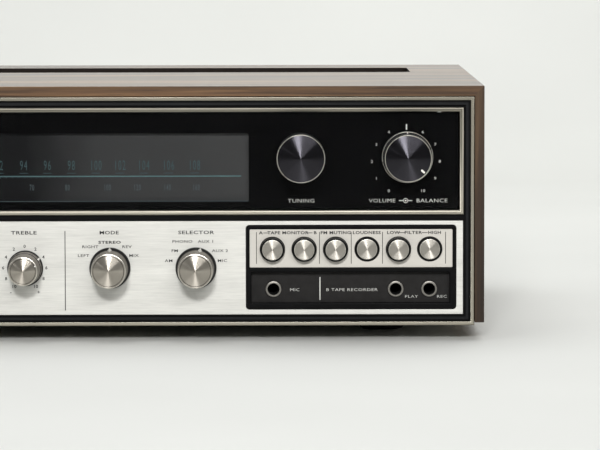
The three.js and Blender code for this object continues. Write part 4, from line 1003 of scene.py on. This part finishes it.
def silver_knobs():
    for name, x, turn in SWITCHES:
        build = Build().turned((
            *silver_face(10.4),
            ([(10.55, -22.0), (10.6, -21.8), (10.62, -21.4), (10.95, -6.6)], 3),
            ([(11.0, -6.2), (11.3, -5.4), (12.0, -4.1), (12.3, -3.5), (12.3, -1.0), (12.1, -0.8),
              (3, -0.8)], 4),
            ([(3, 31.6), (2.6, 32), (0, 32)], 5)), 96)
        build.add([(-1.5, -6.3, 10.7), (1.5, -6.3, 10.7), (0.2, -4.1, 12.25), (-0.2, -4.1, 12.25),
                   (0.0, -15.5, 10.9), (0.0, -4.0, 10.5)],
                  [(0, 4, 3), (3, 4, 2), (2, 4, 1), (0, 5, 4), (4, 5, 1), (0, 3, 5), (3, 2, 5), (2, 1, 5)],
                  6, soft=False)
        node = name + "_knob"
        build.done(name + "_rotary_knob", SILVER_KNOB, "spun_silver", node, node, (x, PANEL_FACE, KNOB_ROW),
                   turn)
    for name, x, knob_turn, ring_turn in (("bass", BASS_X, 0, 0), ("treble", TREBLE_X, 67, 55)):
        at = (x, PANEL_FACE, KNOB_ROW)
        build = Build().turned((
            *silver_face(8.7),
            ([(9.6, -11.7), (9.4, -11.5), (3, -11.5)], 3),
            ([(3, 41.6), (2.6, 42), (0, 42)], 5)), 96)
        build.lathe(fillet([(0, -25.12), (0.5, -25.08), (0.55, -24.6), (0, -24.6)], 0.1), 16, 6, (0, 0, 7.9))
        node = name + "_knob"
        build.done(name + "_tone_knob", SILVER_KNOB, "spun_silver", node, node, at, knob_turn)
        build = Build().turned((
            ([(3.4, -11), (9.5, -11), (9.85, -10.85), (9.9, -10.5)], 1),
            ([(10.1, -3.9)], 0),
            ([(10.2, -3.6), (10.5, -3.5), (10.7, -3.2), (10.7, -1.0), (10.5, -0.8), (4.8, -0.8)], 2),
            ([(4.8, 30), (3.4, 30), (3.4, -11)], 3)), 96, ripples={4: (80, 0.06), 5: (80, 0.06)})
        build.block(-0.55, 0.55, -10.6, -3.4, 9.5, 10.75, 0.2, 4)
        node = name + "_ring"
        build.done(name + "_tone_ring", [SPUN_EDGE, DARK_METAL, SKIRT, STEEL, WHITE_METAL], "spun_silver",
                   node, node, at, ring_turn)


def dark_knobs():
    build = Build().turned((
        *dark_face(14.4),
        ([(14.25, -24.3), (14.25, -23.9), (14.4, -23.6), (14.4, -1.6), (14.1, -0.8), (3.3, -0.8)], 2),
        ([(3.3, -8), (0, -8)], 3)), 240, ripples=DARK_FLUTES)
    build.done("tuning_control", [SPUN_DARK, SPUN_RIM, SKIRT, BRASS], "spun_black", "tuning_knob", "tuning",
               (TUNING[0], GLASS_FACE, TUNING[1]))
    at = (VOLUME[0], GLASS_FACE, VOLUME[1])
    build = Build().turned((
        *dark_face(14.0),
        ([(13.85, -24.3), (13.85, -23.9), (14.0, -23.6), (14.2, -11.7), (14.0, -11.5), (3, -11.5)], 2),
        ([(3, 39.6), (2.6, 40), (0, 40)], 3)), 240, ripples=DARK_FLUTES)
    build.plate(rectangle(-0.6, 0.6, 10.2, 13.0, 0.55, 5), [], -25.6, -24.6, 0.08, 4)
    build.done("volume_control", DARK_KNOB, "spun_black", "volume_knob", "volume_knob", at, 131)
    build = Build().turned((
        ([(3.4, -11), (14.95, -11)], 2),
        ([(15.1, -11), (15.22, -10.9), (15.3, -10.65)], 1),
        ([(15.2, -10.4), (15.2, -1.2), (14.9, -0.8), (4.8, -0.8)], 2),
        ([(4.8, 30), (3.4, 30), (3.4, -11)], 3)), 240, ripples={6: (72, 0.1), 7: (72, 0.1)})
    build.plate(rectangle(-0.4, 0.4, 13.9, 14.8, 0.2, 3), [], -11.1, -10.8, 0.05, 4)
    build.done("balance_control", DARK_KNOB, "spun_black", "balance_ring", "balance_ring", at)


# --- dial drive and the controls behind the front

CORD_PLANE = -154
WHEEL_HALF = 2.5


def wheel_rim(groove):
    """The outside of a grooved wheel, front to back."""
    rim, half = groove + 1.2, WHEEL_HALF
    return [(rim - 0.25, -half), (rim, -half + 0.25), (rim, -half + 0.7), (groove, -0.9),
            (groove, 0.9), (rim, half - 0.7), (rim, half - 0.25), (rim - 0.25, half)]


def capacitor_pick(centre, normal):
    return 0 if centre.y < -141.4 or centre.y > -94.3 or centre.z < 61.3 else 1


def tone_pick(centre, normal):
    if centre.y >= -119.3:
        return 2
    if centre.y > -121.1:
        return 0
    return 3 if centre.y < -144.4 else 1


def wafer_pick(centre, normal):
    if centre.y < -144.4:
        return 2
    return 1 if -126.1 < centre.y < -124.3 or -114.1 < centre.y < -112.3 else 0


def bank_pick(centre, normal):
    return 1 if -141 < centre.y < -109.3 else 0


def drive():
    hub, bore = 3, 2.32
    profile = [(0, -20.2), (2.7, -20.2), (3, -19.9), (hub, -WHEEL_HALF), *wheel_rim(4), (hub, WHEEL_HALF),
               (3, 13.8), (17.5, 13.8), (17.8, 13.95), (18, 14.3), (18, 22.3), (17.8, 22.65), (17.5, 22.8),
               (3, 22.8), (3, 35.5), (2.7, 35.8), (0, 35.8)]
    Build().lathe(profile).done("flywheel_shaft", [BRASS], "brass", "tuning_shaft", "tuning",
                                (TUNING[0], CORD_PLANE, TUNING[1]))
    refined("tuning_drum", "cord_drum", [NYLON], 0.15)
    profile = [(bore, WHEEL_HALF), (bore, -WHEEL_HALF), *wheel_rim(6), (bore, WHEEL_HALF)]
    Build().lathe(profile, 56).done("cord_idler", [NYLON], "nylon", "cord_pulley", "pulley",
                                    (-125, CORD_PLANE, 108.7))
    refined("dial_cord", "cord_loop", [THREAD], 0)
    refined("tuning_capacitor", "variable_capacitor", [STEEL, ALUMINIUM], 0.12,
            capacitor_pick)


def controls():
    refined("volume_balance_pot", "volume_balance_control", [STEEL], 0.4)
    refined("tone_board", "tone_control_board", [BROWN_BOARD, STEEL, SLEEVE, BRASS], 0.25, tone_pick)
    for name, _, _ in SWITCHES:
        refined(name + "_switch", name + "_wafer_switch", [STEEL, PHENOLIC, BRASS], 0.2, wafer_pick)
    refined("push_switch_bank", "switch_bank", [STEEL, WHITE_PLASTIC], 0.3, bank_pick)
    build = Build()
    for _, x, _ in SWITCHES:
        for y in (-126, -114):
            for k in range(12):
                px, pz = on_circle(x, KNOB_ROW, 11.6, 15 + 30 * k)
                build.block(px - 0.7, px + 0.7, y - 0.35, y + 1.95, pz - 0.7, pz + 0.7, 0.15)
    build.done("switch_contacts", [BRASS], "steel")


# --- chassis and electronics

DECK = 23.8        # underside of the boards
BOARD_TOP = 25.4


def transformer_pick(centre, normal):
    if abs(centre.y - 80) > 20.4:
        return 2 if centre.z > 20 else 0
    return 0 if centre.z < 16 else 1


def chassis():
    refined("chassis_tray", "chassis_pan", [STEEL], 0.3)
    refined("power_transformer", "mains_transformer", [STEEL, LAMINATED, COPPER], 0.5,
            transformer_pick)
    build = Build()
    x, y = -164, 80
    for px in (-42, 42):
        for py in (-19, 19):
            build.lathe([(0, 15.8), (3.2, 15.8), (3.2, 17.2), (2.4, 17.9), (0, 18.0)], 6,
                        at=(x + px, y + py, 0), axis="Z")
    for n, px in enumerate((-15, -5, 5, 15)):
        path = [(x + px, y - 34.2, 60), (x + px, y - 37, 58), (x + px, y - 38, 52),
                (x + px * 1.1, y - 40, 30), (x + px * 1.3, y - 46, 20), (x + px * 1.5, y - 60, 16.2)]
        build.tube(path, 1.1, 12, 1 + n % 3)
    build.done("transformer_leads", [SCREW, RED_PLASTIC, BLACK_SLEEVE, WHITE_PLASTIC], "transformer")
    build = Build()
    upright_can(build, -88, 80, 19, 15.0, 89.8, 0)
    build.block(-114, -62, 72, 88, 13.8, 16.8, 0.4, 2)
    for x in (-111, -65):
        build.lathe([(0, 16.8), (2.8, 16.8), (2.8, 18.2), (1.6, 18.9), (0, 18.9)], 6, 3, (x, 80, 0), "Z")
    build.done("reservoir_capacitor", [SLEEVE, ALUMINIUM, STEEL, SCREW], "black_bezel", "filter_capacitor")


def upright_can(build, x, y, radius, z0, z1, slot):
    """An electrolytic capacitor with a crimp near its foot and a scored top."""
    profile = [(0, z0), (radius, z0), (radius, z0 + 1.8), (radius - 0.45, z0 + 2.3),
               (radius - 0.45, z0 + 2.9), (radius, z0 + 3.4), (radius, z1 - 0.5),
               (radius - 0.35, z1), (radius - 0.9, z1),
               (radius - 1.1, z1 - 0.3), (0, z1 - 0.3)]
    build.lathe(profile, 40, [slot] * 8 + [1, 1], (x, y, 0), "Z")
    for wide, deep in ((radius * 0.6, 0.12), (0.12, radius * 0.6)):
        build.block(x - wide, x + wide, y - deep, y + deep, z1 - 0.35, z1 - 0.2, 0.03, slot)


def resistor(build, x, y, band):
    """A small resistor lying just above its board, on bent leads."""
    half, z = 3.0, BOARD_TOP
    profile = [(0, -half), (0.7, -half), (1.15, -half + 0.4), (1.15, -half + 1.2), (0.95, -half + 1.5),
               (0.95, half - 1.5), (1.15, half - 1.2), (1.15, half - 0.4), (0.7, half), (0, half)]
    build.lathe(profile, 16, [3, 3, 3, 3, band, 3, 3, 3, 3], (x, y, z + 1.9), "X")
    for sign in (-1, 1):
        a, b = x + sign * half, x + sign * (half + 1.6)
        build.tube([(a, y, z + 1.9), (b - sign * 0.3, y, z + 1.9), (b, y, z + 1.5), (b, y, z - 0.1)], 0.3,
                   8, 1)


def board(x0, x1, y0, y1):
    """A circuit board on four stand-offs."""
    build = Build().block(x0, x1, y0, y1, DECK, BOARD_TOP, 0.25)
    for x in (x0 + 5, x1 - 5):
        for y in (y0 + 5, y1 - 5):
            build.lathe([(0, 13.8), (3, 13.8), (3, DECK), (0, DECK)], 6, 1, (x, y, 0), "Z")
            build.lathe([(0, DECK + 1.6), (2.6, DECK + 1.6), (2.4, DECK + 2.6), (1.2, DECK + 3.0),
                         (0, DECK + 3.0)], 20, 1, (x, y, 0), "Z")
    return build


def resistor_rows(build, first, pitch, count, rows):
    for row, y in enumerate(rows):
        for k in range(count):
            resistor(build, first + pitch * k + 3 * (row % 2), y, 5 + (k + row) % 2)


def amplifier_board():
    z = BOARD_TOP
    build = board(-58, 92, 20, 142)
    for x in (-30, 0, 30, 60):
        build.block(x - 6, x + 6, 68.6, 71.4, z + 2.5, z + 20.4, 0.5, 2, 3)
        build.block(x - 5, x + 5, 71.2, 71.6, z + 3, z + 20.2, 0.1, 1)
        for lead in (-2.5, 0, 2.5):
            build.tube([(x + lead, 70, z + 3), (x + lead, 70, z - 0.2)], 0.5, 8, 1)
    for x in (-15, 15, 45, 75):
        build.block(x - 2.4, x + 2.4, 98.2, 117.8, z + 0.4, z + 7.4, 0.6, 3, 3)
    for x in (-40, -12, 16, 44, 72):
        upright_can(build, x, 40, 7, z, z + 26.4, 4)
    resistor_rows(build, -48, 15.5, 9, (58, 84, 92, 124, 130))
    build.done("amplifier_circuit", [BROWN_BOARD, SCREW, BLACK, RESISTOR, SLEEVE, RED_PLASTIC, BRASS],
               "board", "amplifier_board")


def tuner_board():
    z = BOARD_TOP
    build = board(40, 212, -90, 2)
    core = [(0, z + 16.1), (3.1, z + 16.1), (3.0, z + 16.4), (2.4, z + 16.3), (2.2, z + 15.4), (0, z + 15.4)]
    for x in range(53, 174, 30):
        build.block(x - 5.5, x + 5.5, -75.5, -64.5, z, z + 16.2, 0.7, 2, 3)
        build.lathe(core, 24, 3, (x, -70, 0), "Z")
    build.block(158, 202, -42, -8, z, z + 28.4, 0.8, 2, 3)
    for x in range(164, 192, 9):
        build.block(x, x + 5, -36, -14, z + 28.3, z + 28.6, 0.1, 5)
    for x in range(55, 128, 24):
        upright_can(build, x, -20, 5, z, z + 16.4, 4)
    resistor_rows(build, 50, 15, 7, (-52, -44, -34, -8))
    build.done("tuner_circuit", [BROWN_BOARD, SCREW, ALUMINIUM, RESISTOR, BLACK_SLEEVE, BLACK_AND_PAINTED_SHADE, BRASS],
               "board", "tuner_board")


# --- the rear

REAR = 159.5
SOCKET_PLATE = 159.85
REAR_LABELS = (  # letter size, then words, x and z of each
    (5.0, (("SPEAKERS", -150, 112), ("INPUTS", 153, 76))),
    (4.0, (("A", -172, 64.5), ("B", -128, 64.5), ("MAINS", -208, 48))),
    (3.6, (("L", -183, 106.4), ("R", -161, 106.4), ("L", -139, 106.4), ("R", -117, 106.4),
           ("L", 86.5, 55), ("R", 86.5, 35), ("FM", 110, 112), ("AM", 150, 112), ("GND", 170, 112))),
    (2.7, (("PHONO", 103, 70), ("AUX 1", 123, 70), ("AUX 2", 143, 70), ("TAPE A", 163, 70),
           ("TAPE B", 183, 70), ("REC", 203, 70))),
)


def antenna_pick(centre, normal):
    return 1 if centre.x > 189.5 else 0


def rear_panel():
    refined("rear_panel", "rear_cover", [REAR_PAINT], 0.25)
    build = Build()
    for columns, rows in (((-218, -100, 78, 188), (19, 134)), ((-90, 70), (33, 105))):
        for x in columns:
            for z in rows:
                screw_head(build, x, REAR, z, 2.8)
    build.done("rear_screws", [SCREW, BLACK_AND_PAINTED_SHADE], "steel")
    build = Build()
    y = REAR + 0.03
    for size, labels in REAR_LABELS:
        for words, x, z in labels:
            build.text(words, x, z, y, size, 0, 1.15, back=True)
    for box in ((-199, -101, 60.2, 118.5), (82, 218, 21, 81.5)):
        build.loop(*box, [(0.5, y + 0.01), (0.5, y - 0.1), (0, y - 0.1), (0, y + 0.01)])
    build.done("rear_lettering", [WHITE_INK], "steel")
    build = Build().block(98, 182, REAR + 0.05, REAR + 2.0, 118, 128, 0.4)
    for x in (104, 116, 144, 156, 170):
        screw_head(build, x, REAR + 2.0, 123, 3.4, 1, 2)
    build.done("antenna_terminals", [PHENOLIC, NICKEL, BLACK_AND_PAINTED_SHADE], "phenolic")
    refined("heat_sink", "finned_heat_sink", [ANODISED], 0.35)


def rear_sockets():
    build = Build().plate(rectangle(92, 214, 24, 66, 1.2, 4), [], SOCKET_PLATE, 161.8, 0.25)
    for x in range(103, 204, 20):
        for z, ring in ((35, 2), (55, 3)):
            profile = [(0, 161.8), (6.4, 161.8), (6.4, 162.5), (6.1, 162.8), (4.35, 162.8), (4.1, 163.1),
                       (4.1, 168.9), (3.9, 169.5), (3.6, 169.8), (3.3, 169.5), (3.3, 164.5), (1.5, 164.5),
                       (1.5, 164.5), (0, 164.5)]
            build.lathe(profile, 40, [1] * 10 + [ring, 4, 4], (x, 0, z))
            build.lathe([(1.45, 164.4), (1.45, 169.2), (0, 169.2), (0, 164.4)], 20, 4, (x, 0, z))
            build.lathe([(0, 161.9), (1.4, 161.9), (1.4, 162.6), (0, 162.6)], 16, 1, (x + 8.6, 0, z))
    build.done("phono_panel", [PHENOLIC, NICKEL, RED_PLASTIC, WHITE_PLASTIC, BLACK_AND_PAINTED_SHADE], "phenolic",
               "phono_jack_strip")
    build = Build().plate(rectangle(-196, -104, 70, 104, 1.5, 4), [], SOCKET_PLATE, 163.8, 0.5)
    for x in range(-183, -116, 22):
        for z, slot in ((79, 1), (95, 2)):
            at = (x, 0, z)
            build.lathe([(0, 163.7), (5.2, 163.7), (5.2, 164.4), (2.4, 164.5), (2.4, 165.2)], 32, 3, at)
            profile = [(2.4, 165.1), (4.2, 165.1), (4.5, 165.4), (4.5, 169.0), (4.1, 169.6), (2.0, 169.8),
                       (0, 169.8)]
            build.lathe(profile, 144, slot, at, ripples={2: (18, 0.14), 3: (18, 0.14)})
            build.block(x - 2.6, x + 2.6, 169.6, 169.85, z - 0.35, z + 0.35, 0.08, 3)
    for x in (-193, -107):
        screw_head(build, x, 163.8, 87, 2.2, 3, 4)
    build.done("speaker_posts", [BLACK, BLACK_SLEEVE, RED_PLASTIC, NICKEL, BLACK_AND_PAINTED_SHADE], "black_bezel",
               "speaker_terminals")
    gland = [(3.3, 153), (5.4, 153), (5.6, 153.2), (5.6, 156.9), (5.9, 157.6), (5.9, 159.8), (8.1, 159.85),
             (8.4, 160.2), (8.4, 161.9), (8.1, 162.3), (7.8, 162.6), (7.2, 163.3), (7.2, 163.9), (6.9, 164.2),
             (6.7, 164.9), (6.7, 165.5), (6.3, 165.8), (6.2, 166.5), (6.2, 167.1), (5.6, 167.5), (5.4, 168.6),
             (5.2, 168.8), (3.5, 168.8), (3.3, 168.6), (3.3, 153)]
    Build().lathe(gland, 56, at=(-208, 0, 34)).done("lead_gland", [RUBBER], "rubber", "cord_gland")


def antenna():
    refined("ferrite_antenna", "bar_antenna", [BLACK, STEEL], 0.5, antenna_pick)
    build = Build()
    for n in range(21):
        x = 60 + 5.6 * n
        section = [(7.9, x - 0.8), (8.3, x - 0.8), (8.3, x + 0.8), (7.9, x + 0.8), (7.9, x - 0.8)]
        build.lathe(fillet(section, 0.2, 2), 40, 0, (0, 183, 130), "X")
    build.done("antenna_ribs", [BLACK], "black_bezel", body="antenna")


for make in (case, front_frames, dial_glass, glass_print, dial, meter, panels, panel_print, push_buttons,
             sockets, silver_knobs, dark_knobs, drive, controls, chassis, amplifier_board, tuner_board,
             rear_panel, rear_sockets, antenna, make_camera, make_stage, make_lights):
    make()
